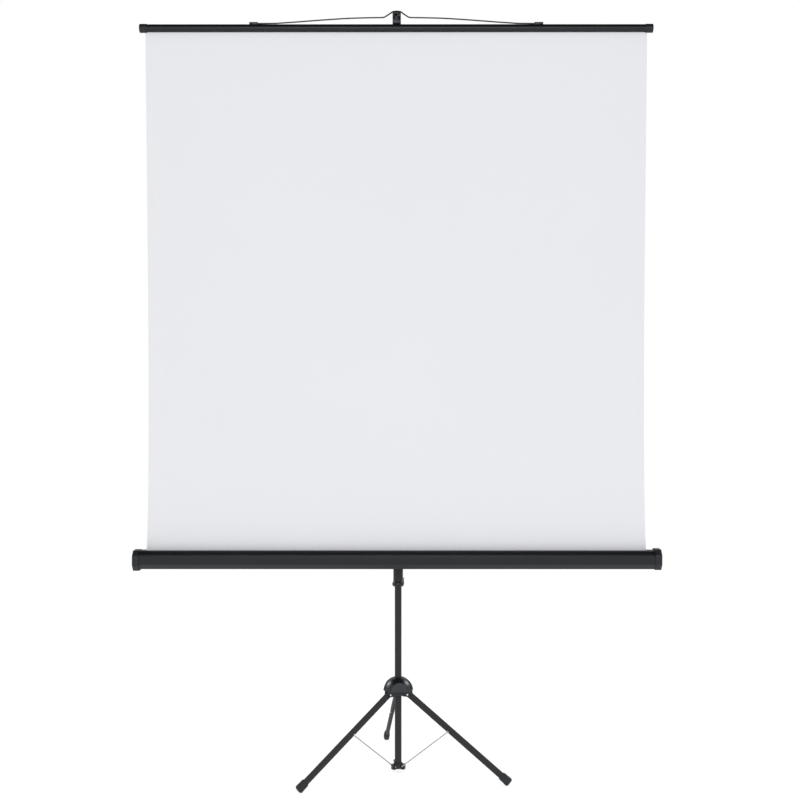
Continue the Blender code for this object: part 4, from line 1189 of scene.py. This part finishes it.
@dataclass
class HeightTube:
    """The outer tube that slides on the column, with its collars, lever and knob."""

    radius: float = 14.75
    wall: float = 1.4
    bottom: float = 580.9
    top: float = 1300.0
    lever_x: float = 15.3
    lever_z: float = 572.5
    knob_z: float = 1308.0

    def build(self) -> None:
        """Makes and dresses the pieces."""
        tube = lathe("height_tube", lipped(self.radius, self.wall, self.bottom, self.top), COLUMN)
        fit(tube, "outer_tube", POWDER_COAT, ["outer_tube"])
        fit(self.collar(), "outer_tube", MOULDED, ["height_collar"])
        fit(self.lever(), "height_lever", MOULDED, ["height_lever"])
        fit(self.mast_collar(), "outer_tube", MOULDED, ["mast_collar"])
        fit(self.knob(), "mast_knob", MOULDED, ["mast_knob"])
        repaint(["lever_pin"], ZINC)

    def collar(self) -> bpy.types.Object:
        """The collar at the tube's foot, with a pocket for the lever."""
        bore, plug = 10.75, self.radius - self.wall - 0.3
        profile = [(plug, 600), (plug, 580.6), (15.4, 580.6), (15.8, 580.0), (17.0, 577.4), (17.6, 575.4)]
        profile += [(17.9, 573.0), (17.9, 570.0), (17.6, 569.2), (15.9, 566.4), (15.2, 566.0)]
        profile += [(bore + 0.4, 566), (bore, 566.4), (bore, 600)]
        made = lathe("foot_collar", profile, COLUMN)
        made = combine(made, box("pocket", (12.4, -6.3, 569.3), (30, 6.3, 590), COLUMN))
        hinge = COLUMN @ shift(self.lever_x, 0, self.lever_z)
        return eased(combine(made, pin("hole", 1.35, -8.9, 8.9, hinge, Run.Y)), 0.25, 2, 40)

    def lever(self) -> bpy.types.Object:
        """The cam lever."""
        place = COLUMN @ shift(self.lever_x, 0, self.lever_z)
        outline = arc((0, 0), 2.6, 150, 360, 24) + [(2.6, 15.0), (2.8, 16.8), (3.3, 18.2), (3.2, 18.9)]
        outline += [(2.6, 19.2), (1.6, 19.2), (0.9, 18.4), (0.2, 16.0), (0.0, 4.2)]
        made = plate("cam_lever", [outline], -5.9, 5.9, place, Plane.XZ, 0.45)
        return combine(made, pin("hole", 1.35, -8, 8, place, Run.Y))

    def mast_collar(self) -> bpy.types.Object:
        """The collar that guides the mast, with the boss for its knob."""
        bore, plug = 8.35, self.radius - self.wall - 0.3
        profile = [(13.6, 1316), (14.5, 1315.7), (16.6, 1313.8), (17.0, 1312.8), (17.0, 1301.0)]
        profile += [(16.6, 1300.4), (plug, 1300.4), (plug, 1262), (bore, 1262), (bore, 1315.6)]
        profile += [(bore + 0.4, 1316)]
        made = lathe("mast_guide", profile, COLUMN)
        place = COLUMN @ shift(z=self.knob_z)
        made = combine(made, pin("boss", 6.2, 13.0, 23.5, place, Run.Y), "UNION")
        return eased(combine(made, pin("hole", 2.85, 5.0, 30.0, place, Run.Y)), 0.4, 2, 40)

    def knob(self) -> bpy.types.Object:
        """The lobed knob: a turned body with a ring of finger hollows."""
        place = COLUMN @ shift(z=self.knob_z)
        profile = [(0, 36.9), (7.0, 36.9), (7.6, 37.6), (11.2, 37.6), (12.2, 37.2), (12.8, 36.2)]
        profile += [(12.8, 27.4), (12.2, 26.4), (11.4, 26.0), (6.0, 24.2), (2.5, 24.2), (2.5, 9.0)]
        profile += [(2.0, 8.5), (0, 8.5)]
        made = lathe("mast_lock_knob", profile, Matrix())
        hollow = lathe("hollow", [(0, 40), (3.6, 40), (3.6, 25), (0, 25)], Matrix(), Run.Z, 32)
        made = combine(made, Ring(6, 14.6).run(hollow, MOULDED, Matrix()))
        made.data.transform(place @ Run.Y.matrix)
        return eased(made, 0.6, 3, 40)


@dataclass
class Clamp:
    """The clamp on the outer tube that carries the case's swivel."""

    screw_x: float = 24.4

    def build(self) -> None:
        """Makes and dresses the pieces."""
        for node, name in (("tube_clamp", "clamp_block"), ("clamp_strap", "clamp_band")):
            fit(from_node(node, name, 0.5), "outer_tube", POWDER_COAT, [node])
        fit(self.screws(), "outer_tube", ZINC, ["clamp_screw_left", "clamp_screw_right"])
        fit(self.bolt(), "outer_tube", ZINC, ["swivel_bolt"])
        fit(from_node("swivel_nut", "swivel_hex_nut", 0.4), "outer_tube", ZINC, ["swivel_nut"])

    def screws(self) -> bpy.types.Object:
        """The two clamp screws, pan heads with a cross recess."""
        profile = [(0, 9.6), (1.6, 9.5), (2.8, 9.1), (3.6, 8.4), (3.9, 7.4), (3.9, 6.7), (2.2, 6.7)]
        profile += [(2.2, -13.2), (1.8, -13.6), (0, -13.6)]
        seed = lathe("clamp_screws", profile, Matrix(), Run.Z, 40)
        for low, high in (((-2.2, -0.45, 8.0), (2.2, 0.45, 12)), ((-0.45, -2.2, 8.0), (0.45, 2.2, 12))):
            seed = combine(seed, box("recess", low, high, Matrix()))
        place = COLUMN @ shift(z=CASE_Z) @ swing(-90, "X")
        return Row(2, 2 * self.screw_x).run(seed, ZINC, place)

    def bolt(self) -> bpy.types.Object:
        """The swivel bolt with its round head."""
        profile = [(0, -16.4), (6.2, -16.4), (7.2, -16.8), (7.6, -17.6), (7.6, -22.9), (7.2, -23.3)]
        profile += [(4.0, -23.3), (4.0, -51.2), (3.4, -51.8), (0, -51.8)]
        return lathe("swivel_pin", profile, COLUMN @ shift(z=CASE_Z), Run.Y, 64)


@dataclass
class Mast:
    """The mast and the hook block on its top end."""

    radius: float = 8.0
    wall: float = 1.0
    bottom: float = 1150.0
    top: float = 2283.6
    head_x: float = -4.2
    head_wide: float = 25.2

    def build(self) -> None:
        """Makes and dresses the pieces."""
        tube = lathe("mast_shaft", lipped(self.radius, self.wall, self.bottom, self.top), COLUMN)
        fit(tube, "mast", POWDER_COAT, ["mast_tube"])
        fit(self.head(), "mast", MOULDED, ["mast_head"])

    def head(self) -> bpy.types.Object:
        """The hook block: a hollow block with a grooved crown and three windows in its front."""
        left, right = self.head_x - self.head_wide / 2, self.head_x + self.head_wide / 2
        outline = [(-48.8, 2268.0), (-48.8, 2301.6), (-48.4, 2302.4), (-47.6, 2302.4)]
        outline += [*arc(Bail.hook, 2.75, 180, 360, 20), (-41.2, 2301.0), (-39.6, 2302.4)]
        outline += [(-20.0, 2302.8), (-8.0, 2302.4), (4.0, 2301.0)]
        outline += [(9.0, 2297.8), (11.8, 2294.0), (11.8, 2257.5), (10.8, 2256.0), (-12.0, 2256.0)]
        outline += [(-16.0, 2258.5), (-40.0, 2264.0)]
        made = plate("hook_block", [outline], left, right, COLUMN, Plane.YZ)
        made = combine(made, box("room", (left + 3.4, -45.6, 2240), (right - 3.4, -12.8, 2294.5), COLUMN))
        centre = self.head_x
        windows = [
            ((centre - 6.0, -60, 2287.8), (centre + 0.6, -45.0, 2295.8)),
            ((centre - 11.0, -60, 2277.6), (centre - 5.4, -45.0, 2286.4)),
            ((centre + 2.1, -60, 2276.0), (centre + 10.8, -45.0, 2286.4)),
        ]
        for low, high in windows:
            made = combine(made, box("window", low, high, COLUMN))
        made = combine(made, pin("bore", self.radius + 0.3, 2200, self.top + 0.3, COLUMN))
        return eased(made, 0.35, 2, 35)


@dataclass
class Case:
    """The long folded case with its end caps and the saddle behind it."""

    half: float = 786.0
    deep: float = 58.0
    tall: float = 54.4
    sheet: float = 1.2
    cap_in: float = 769.3
    cap_out: float = 791.4
    left_moves: Pair = (-1.6, 1.9)
    right_moves: Pair = (1.5, -0.6)
    boss_ends: Pair = (775.0, 788.6)
    bore_ends: Pair = (760.0, 787.0)
    bore_left: float = 3.35
    bore_right: float = 4.35
    slot_half: float = 7.5
    rivet_x: float = 36.0
    roller_y: float = -76.4
    roller_z: float = 656.0

    def build(self) -> None:
        """Makes and dresses the pieces."""
        words = ("top_front", "front", "lower_front", "bottom", "lower_back", "back", "top_back")
        panels = [f"case_{word}" for word in words]
        fit(self.profile(), "case", CASE_COAT, panels, 25)
        for side, word in ((-1, "left"), (1, "right")):
            fit(self.cap(side, word), "case", CAP_PLASTIC, [f"case_cap_{word}"], 30)
        fit(from_node("case_saddle", "saddle_plate", 0.6), "case", POWDER_COAT, ["case_saddle"])
        fit(self.rivets(), "case", ZINC, ["saddle_rivet_1", "saddle_rivet_2"])
        fit(self.spring(), "case", ZINC, ["torsion_spring"])
        repaint(["spring_arbor"], ZINC)

    @property
    def place(self) -> Matrix:
        """The case's centre line."""
        return shift(0.0, CASE_Y, CASE_Z)

    def profile(self) -> bpy.types.Object:
        """The folded sheet with rounded folds and a return along each lip of its slot."""
        deep, tall, slot = self.deep / 2, self.tall / 2, 10.0
        line = [(slot - self.slot_half, tall), (-15.0, tall), (-deep + 2.6, 16.2), (-deep + 2.6, 14.2)]
        line += [(-deep, 13.4), (-deep, -12.0), (-15.5, -tall), (15.5, -tall), (deep, -12.0), (deep, 15.0)]
        line += [(slot + self.slot_half + 2.0, tall), (slot + self.slot_half, tall)]
        front = filleted(line, 1.6, 5)
        made = plate("case_shell", [walled(front, self.sheet)], -self.half, self.half, self.place, Plane.YZ)
        for radius, x in ((4.6, 0.0), (2.15, -self.rivet_x), (2.15, self.rivet_x)):
            made = combine(made, pin("hole", radius, 11, 41, self.place @ shift(COLUMN_X + x), Run.Y))
        return made

    def cap_outline(self, grow: float, lift: float = 0.0, drop: float = 0.0) -> list[Pair]:
        """A cap's outline: the case's own, closed over the slot and grown, its top and foot moved out."""
        deep, slant = self.deep / 2 + grow, grow * 0.42
        top, foot = self.tall / 2 + grow + lift, -self.tall / 2 - grow - drop
        points = [(-15.0 - slant, top), (-deep, 14.6 + slant + lift), (-deep, -12.0 - slant - drop)]
        points += [(-15.5 - slant, foot), (15.5 + slant, foot), (deep, -12.0 - slant - drop)]
        return [*points, (deep, 15.0 + slant + lift), (19.5 + slant, top)]

    def cap(self, side: int, word: str) -> bpy.types.Object:
        """One moulded cap: a cup with a low domed end and a boss for the roller's axle."""
        lift, drop = self.left_moves if side < 0 else self.right_moves
        corners = self.cap_outline(3.0, lift, drop)
        outline = filleted([*corners, *corners[:2]], 2.6, 4)[1:-1]
        rows = [(self.cap_in, 0.983), (self.cap_in + 0.2, 0.993), (self.cap_in + 0.8, 1.0)]
        dome = [(4.6, 1.0), (4.1, 0.998), (3.7, 0.992), (3.35, 0.982), (3.1, 0.965), (2.8, 0.93)]
        dome += [(2.45, 0.87), (2.1, 0.8), (1.65, 0.7), (1.2, 0.6), (0.72, 0.45), (0.33, 0.3)]
        dome += [(0.1, 0.15), (0.0, 0.05)]
        rows += [(self.cap_out - inward, share) for inward, share in dome]
        rings = [[(side * x, y * share, z * share) for y, z in outline] for x, share in rows]
        made = loft(f"case_end_{word}", rings, self.place)
        room = self.cap_outline(0.3)
        low, high = sorted((side * (self.cap_in - 5), side * (self.half + 0.3)))
        made = combine(made, plate("room", [room], low, high, self.place, Plane.YZ))
        axle = COLUMN @ shift(-3.0, self.roller_y, self.roller_z)
        low, high = sorted(side * end for end in self.boss_ends)
        made = combine(made, pin("boss", 8.0, low, high, axle, Run.X), "UNION")
        low, high = sorted(side * end for end in self.bore_ends)
        bore = self.bore_left if side < 0 else self.bore_right
        return combine(made, pin("hole", bore, low, high, axle, Run.X))

    def rivets(self) -> bpy.types.Object:
        """The two rivets of the saddle."""
        head, inside = 5.6, -1.5
        profile = [(0, head + 1.7), (1.2, head + 1.62), (2.3, head + 1.25), (3.1, head + 0.6), (3.5, head)]
        profile += [(1.85, head), (1.85, inside), (3.1, inside), (2.6, inside - 1.2), (0, inside - 1.3)]
        seed = lathe("saddle_rivets", profile, Matrix(), Run.Z, 32)
        place = shift(COLUMN_X, CASE_Y + self.deep / 2, CASE_Z) @ swing(-90, "X")
        return Row(2, 2 * self.rivet_x).run(seed, ZINC, place)

    def spring(self) -> bpy.types.Object:
        """The torsion spring inside the roller."""
        seed = linked("spring_coil", bpy.data.meshes.new("spring_coil"))
        place = COLUMN @ shift(450.0, self.roller_y, self.roller_z) @ swing(90, "Y")
        return Coil(14.0, 9.2, 1.0, 255.0).run(seed, ZINC, place)


@dataclass
class Screen:
    """The cloth that is drawn out, and the roller that holds the rest of it."""

    half: float = 750.6
    foot: float = 658.0
    head: float = 2241.0
    thick: float = 0.6
    waist: float = 8.5
    curl: float = 5.0
    exit_z: float = 0.684
    seam: float = 2233.0
    seam_gap: float = 0.2
    hairline: float = 0.05
    head_half: float = 743.5
    travel: float = 1.545
    roll_inner: float = 14.2
    roll_outer: float = 14.72
    roll_half: float = 749.0
    roll_thick: float = 0.2
    tube_ends: Pair = (-752.0, 754.0)

    def build(self) -> None:
        """Makes and dresses the pieces."""
        whole = self.cloth()
        cloth = self.part(whole, "screen_cloth_sheet", False)
        strip = self.part(whole, "cloth_head", True)
        bpy.data.objects.remove(whole, do_unlink=True)
        for piece, body in ((cloth, "case"), (strip, "top_bar")):
            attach(piece, body)
        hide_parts("screen_fabric")
        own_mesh(cloth)
        fit(self.roll(), "roller", CLOTH_BACK, ["fabric_roll"])
        fit(self.tube(), "roller", ALUMINIUM, ["roller_tube"])
        repaint(["idle_plug", "spring_plug"], GREY_PLASTIC)
        repaint(["idle_pin"], ZINC)

    def cloth(self) -> bpy.types.Object:
        """The whole hanging cloth, without its thickness."""
        seed = linked("whole_cloth", bpy.data.meshes.new("whole_cloth"))
        rule = DrawnCloth(self.half, self.foot, self.head, self.waist, self.curl)
        return rule.run(seed, CLOTH_FRONT, COLUMN @ shift(SCREEN_X, SCREEN_Y, 0.0))

    def part(self, whole: bpy.types.Object, name: str, at_head: bool) -> bpy.types.Object:
        """The cloth's head, which lies in the bar and is cut back to clear its caps, or the part below it.

        Args:
            whole: the whole cloth, which stays.
            name: the part's name.
            at_head: whether it is the head.

        Returns:
            The mesh object, with its thickness, front and back.
        """
        made = linked(name, whole.data.copy())
        bm = bmesh.new()
        bm.from_mesh(made.data)
        centre, near = (COLUMN_X + SCREEN_X) * MM, self.head_half * MM
        seam = (self.seam if at_head else self.seam - self.hairline) * MM
        cuts = [((0, 0, seam), (0, 0, 1)), *(((centre + side * near, 0, 0), (1, 0, 0)) for side in (-1, 1))]
        for spot, normal in cuts:
            geom = [*bm.verts, *bm.edges, *bm.faces]
            bmesh.ops.bisect_plane(bm, geom=geom, dist=1e-6, plane_co=spot, plane_no=normal)
        doomed = []
        for face in bm.faces:
            middle = face.calc_center_median()
            if (middle.z > seam) != at_head or (at_head and abs(middle.x - centre) > near):
                doomed.append(face)
            if face.normal.y > 0:
                face.normal_flip()
        bmesh.ops.delete(bm, geom=doomed, context="FACES")
        bm.to_mesh(made.data)
        bm.free()
        sheet = made.modifiers.new("thickness", "SOLIDIFY")
        sheet.thickness = self.thick * MM
        sheet.offset = 0.0
        sheet.material_offset = sheet.material_offset_rim = 1
        made.data.materials.clear()
        for finish in (CLOTH_FRONT, CLOTH_BACK):
            made.data.materials.append(finish.material())
        return smooth(settled(made), 50)

    def roll(self) -> bpy.types.Object:
        """The turns left on the roller: a thin sheet wound in a spiral, with a map along its length."""
        turns, steps = 1.45, 116
        bm = bmesh.new()
        edge, length = [], 0.0
        layer = bm.loops.layers.uv.new("UVMap")
        for step in range(steps + 1):
            share = step / steps
            radius = self.roll_outer - (self.roll_outer - self.roll_inner) * share - self.roll_thick / 2
            angle = -2 * math.pi * turns * share
            spot = (radius * math.cos(angle) * MM, radius * math.sin(angle) * MM)
            ends = [bm.verts.new((x * MM, *spot)) for x in (-self.roll_half, self.roll_half)]
            edge.append((ends, length))
            length += 2 * math.pi * turns / steps * radius * MM
        for (first, start), (second, end) in zip(edge, edge[1:]):
            face = bm.faces.new((first[0], first[1], second[1], second[0]))
            for loop, spot in zip(face.loops, ((0, start), (1, start), (1, end), (0, end))):
                loop[layer].uv = spot
        mesh = bpy.data.meshes.new("cloth_roll")
        bm.to_mesh(mesh)
        bm.free()
        mesh.transform(COLUMN @ shift(SCREEN_X, Case.roller_y, Case.roller_z))
        made = linked("cloth_roll", mesh)
        sheet = made.modifiers.new("thickness", "SOLIDIFY")
        sheet.thickness = self.roll_thick * MM
        sheet.offset = 0.0
        return settled(made)

    def tube(self) -> bpy.types.Object:
        """The aluminium roller tube."""
        place = COLUMN @ shift(0.0, Case.roller_y, Case.roller_z)
        profile = lipped(14.0, 1.0, *(SCREEN_X + end for end in self.tube_ends), 0.25)
        return lathe("roller_core", profile, place, Run.X)


@dataclass
class TopBar:
    """The slotted bar that stretches the cloth, with its caps and bail clips."""

    radius: float = 11.9
    wall: float = 1.2
    half: float = 760.0
    cap_in: float = 745.6
    cap_radius: float = 13.1

    def build(self) -> None:
        """Makes and dresses the pieces."""
        fit(self.bar(), "top_bar", BAR_COAT, ["top_bar"])
        for side, word in ((-1, "left"), (1, "right")):
            fit(self.cap(side, word), "top_bar", CAP_PLASTIC, [f"bar_cap_{word}"])
            clip = from_node(f"bail_clip_{word}", f"bail_saddle_{word}", 0.35)
            fit(clip, "top_bar", MOULDED, [f"bail_clip_{word}"])
        repaint(["fabric_rod"], GREY_PLASTIC)

    @property
    def place(self) -> Matrix:
        """The bar's centre line."""
        return COLUMN @ shift(SCREEN_X, SCREEN_Y, BAR_Z)

    def bar(self) -> bpy.types.Object:
        """The slotted tube."""
        inner = self.radius - self.wall
        outline = arc((0, 0), self.radius, -83.0, 263.0, 110)
        outline += arc((0, 0), inner, 262.0, -82.0, 100)
        return plate("top_bar_tube", [outline], -self.half, self.half, self.place, Plane.YZ)

    def cap(self, side: int, word: str) -> bpy.types.Object:
        """One moulded cap, a plain cup."""
        cup, room = self.cap_radius, self.radius + 0.3
        profile = [(0, 768), (11.4, 768), (12.1, 767.8), (12.6, 767.4), (12.95, 766.8), (cup, 766.2)]
        profile += [(cup, self.cap_in + 1.0), (cup - 0.15, self.cap_in + 0.4), (cup - 0.5, self.cap_in)]
        profile += [(room, self.cap_in), (room, 761), (0, 761)]
        turn = swing(180, "Z") if side < 0 else Matrix()
        return lathe(f"bar_end_{word}", profile, self.place @ turn, Run.X)


@dataclass
class Bail:
    """The wire bail that hangs the bar on the mast's hook."""

    radius: float = 2.1
    pivot_z: float = 2260.9
    half: float = 436.0
    hook: Pair = (-44.6, 2300.2)
    middle: float = 1.4

    def build(self) -> None:
        """Makes and dresses the wire."""
        fit(self.wire(), "bail", BAIL_STEEL, ["bail_wire"])

    def wire(self) -> bpy.types.Object:
        """The wire: two long bowed sides, two shoulders and a raised middle in the hook."""
        lean = math.atan2(self.hook[0] - SCREEN_Y, self.hook[1] - self.pivot_z)
        rise = math.hypot(self.hook[0] - SCREEN_Y, self.hook[1] - self.pivot_z)
        half = [(self.half, 0.0), (412.0, 0.0), (360.0, 0.6), (341.0, 2.3), (305.0, 5.1), (269.0, 8.6)]
        half += [(233.0, 11.9), (197.0, 15.0), (161.0, 17.9), (143.0, 19.1), (125.0, 19.9), (107.0, 20.5)]
        half += [(71.0, 21.4), (53.0, 21.7), (43.0, 22.0), (39.5, 22.4), (35.5, 23.9), (32.0, 26.5)]
        half += [(18.0, rise - 4.6), (15.6, rise - 2.1), (13.4, rise - 0.45), (10.5, rise + 0.6)]
        half += [(6.5, rise + 2.0), (2.2, rise + 2.7)]
        flat = [(-x, height) for x, height in half] + half[::-1]
        line = filleted(flat, 9.0, 6)
        points = []
        for x, height in line:
            across = x + self.middle * min(1.0, height / rise)
            points.append((across, height * math.sin(lean), height * math.cos(lean)))
        place = COLUMN @ shift(SCREEN_X, SCREEN_Y, self.pivot_z)
        return rod("bail_hoop", points, self.radius, place)


# Studio


@dataclass(frozen=True)
class Lamp:
    """One soft lamp: where it is, what it points at, its size in metres and its power in watts."""

    name: str
    spot: Triple
    aim: Triple
    size: float
    watts: float

    def build(self) -> None:
        """Makes the lamp."""
        data = bpy.data.lights.new(self.name, "AREA")
        data.shape = "SQUARE"
        data.size = self.size
        data.energy = self.watts
        lamp = linked(self.name, data)
        lamp.visible_camera = False
        lamp.location = self.spot
        lamp.rotation_euler = (Vector(self.aim) - Vector(self.spot)).to_track_quat("-Z", "Y").to_euler()


@dataclass
class Studio:
    """The floor, the dark cards, the lamps, the sky and the camera."""

    floor_half: float = 30.0
    sky: float = 0.80
    glow: float = 0.78
    shade: float = 0.28
    eye: Triple = (0.0127, -3.9713, 1.170)
    lens: float = 57.59
    tilt: float = 89.47
    yaw: float = 0.06

    def build(self) -> None:
        """Makes the studio."""
        self.floor()
        upright = Matrix.Rotation(math.radians(90), 4, "X")
        self.card("ceiling_card", Matrix.Translation((0.0, 0.0, 4.6)), (3.8, 3.8))
        self.card("back_card", Matrix.Translation((0.0, 2.6, 0.55)) @ upright, (6.0, 0.75))
        self.card("low_card", Matrix.Translation((0.0, -4.9, 0.5)) @ upright, (1.5, 0.5))
        self.world()
        middle = (0.0, -0.1, 1.2)
        Lamp("front_lamp", (0.0, -5.3, 2.2), middle, 2.4, 62.0).build()
        Lamp("left_lamp", (-2.6, 1.1, 2.1), (0.0, -0.07, 0.4), 1.2, 38.0).build()
        Lamp("right_lamp", (2.4, 1.1, 2.4), (0.0, -0.07, 0.4), 1.2, 40.0).build()
        self.camera()
        bpy.context.scene.view_settings.view_transform = "Standard"

    def plane(self, name: str, place: Matrix, half: Pair) -> bpy.types.Object:
        """A flat rectangle that isn't part of the object.

        Args:
            name: its name.
            place: where its centre and axes lie.
            half: half its two sides, in metres.

        Returns:
            The mesh object.
        """
        bm = bmesh.new()
        bmesh.ops.create_grid(bm, x_segments=1, y_segments=1, size=1.0)
        bmesh.ops.scale(bm, vec=(*half, 1.0), verts=bm.verts)
        mesh = bpy.data.meshes.new(name)
        bm.to_mesh(mesh)
        bm.free()
        mesh.transform(place)
        made = linked(name, mesh)
        return made

    def seen(self, tree: Tree) -> bpy.types.NodeSocket:
        """Is 1 for what the camera, a gloss or a clear piece sees, and 0 for light.

        Args:
            tree: the tree to add to.

        Returns:
            The value's socket.
        """
        path = tree.add("ShaderNodeLightPath").outputs
        clear = tree.math("MAXIMUM", path["Is Glossy Ray"], path["Is Transmission Ray"])
        return tree.math("MAXIMUM", path["Is Camera Ray"], clear)

    def floor(self) -> None:
        """The pale floor: white where nothing shades it, and darker in the object's shadow."""
        made = self.plane("studio_floor", Matrix(), (self.floor_half, self.floor_half))
        look = bpy.data.materials.new("studio_floor_white")
        look.use_nodes = True
        tree = Tree(look.node_tree)
        plain = look.node_tree.nodes["Principled BSDF"]
        plain.inputs["Base Color"].default_value = (0.9, 0.9, 0.9, 1.0)
        plain.inputs["Roughness"].default_value = 0.9
        plain.inputs["Specular IOR Level"].default_value = 0.0
        glow = tree.add("ShaderNodeEmission", {"Color": (1.0, 1.0, 1.0, 1.0), "Strength": self.glow})
        shade = tree.add("ShaderNodeBsdfDiffuse", {"Color": (self.shade, self.shade, self.shade, 1.0)})
        white = tree.add("ShaderNodeAddShader", {0: glow.outputs[0], 1: shade.outputs[0]})
        inputs = {0: self.seen(tree), 1: plain.outputs[0], 2: white.outputs[0]}
        mix = tree.add("ShaderNodeMixShader", inputs)
        tree.feed(look.node_tree.nodes["Material Output"], "Surface", mix.outputs[0])
        made.data.materials.append(look)

    def card(self, name: str, place: Matrix, half: Pair) -> None:
        """A black card that shows only in reflections.

        Args:
            name: its name.
            place: where its centre and axes lie.
            half: half its two sides, in metres.
        """
        made = self.plane(name, place, half)
        look = bpy.data.materials.new(name + "_black")
        look.use_nodes = True
        shader = look.node_tree.nodes["Principled BSDF"]
        shader.inputs["Base Color"].default_value = (0.004, 0.004, 0.004, 1.0)
        shader.inputs["Specular IOR Level"].default_value = 0.0
        made.data.materials.append(look)
        made.visible_camera = made.visible_diffuse = made.visible_shadow = made.visible_transmission = False

    def world(self) -> None:
        """A white surround for the camera and for reflections, and a plainer one for light."""
        world = bpy.data.worlds.new("studio_sky")
        bpy.context.scene.world = world
        world.use_nodes = True
        tree = Tree(world.node_tree)
        back = world.node_tree.nodes["Background"]
        back.inputs["Color"].default_value = (1.0, 1.0, 1.0, 1.0)
        tree.feed(back, "Strength", tree.spread(self.seen(tree), self.sky, 1.0))

    def camera(self) -> None:
        """The camera at the photograph's place."""
        data = bpy.data.cameras.new("photo_camera")
        data.lens = self.lens
        data.sensor_width = 36.0
        data.clip_end = 100.0
        camera = linked("photo_camera", data)
        camera.location = self.eye
        camera.rotation_euler = (math.radians(self.tilt), 0.0, math.radians(self.yaw))
        bpy.context.scene.camera = camera


def clear_scene() -> None:
    """Removes what the startup file holds."""
    for obj in list(bpy.data.objects):
        bpy.data.objects.remove(obj, do_unlink=True)


def main() -> None:
    """Loads the model and dresses it, part by part."""
    logging.basicConfig(level=logging.INFO, format="%(message)s")
    clear_scene()
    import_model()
    Studio().build()
    for part in (Column(), Hub(), Legs(), HeightTube(), Clamp(), Mast(), Case(), Screen(), TopBar(), Bail()):
        LOG.info("building %s", type(part).__name__)
        part.build()


if __name__ == "__main__":
    main()
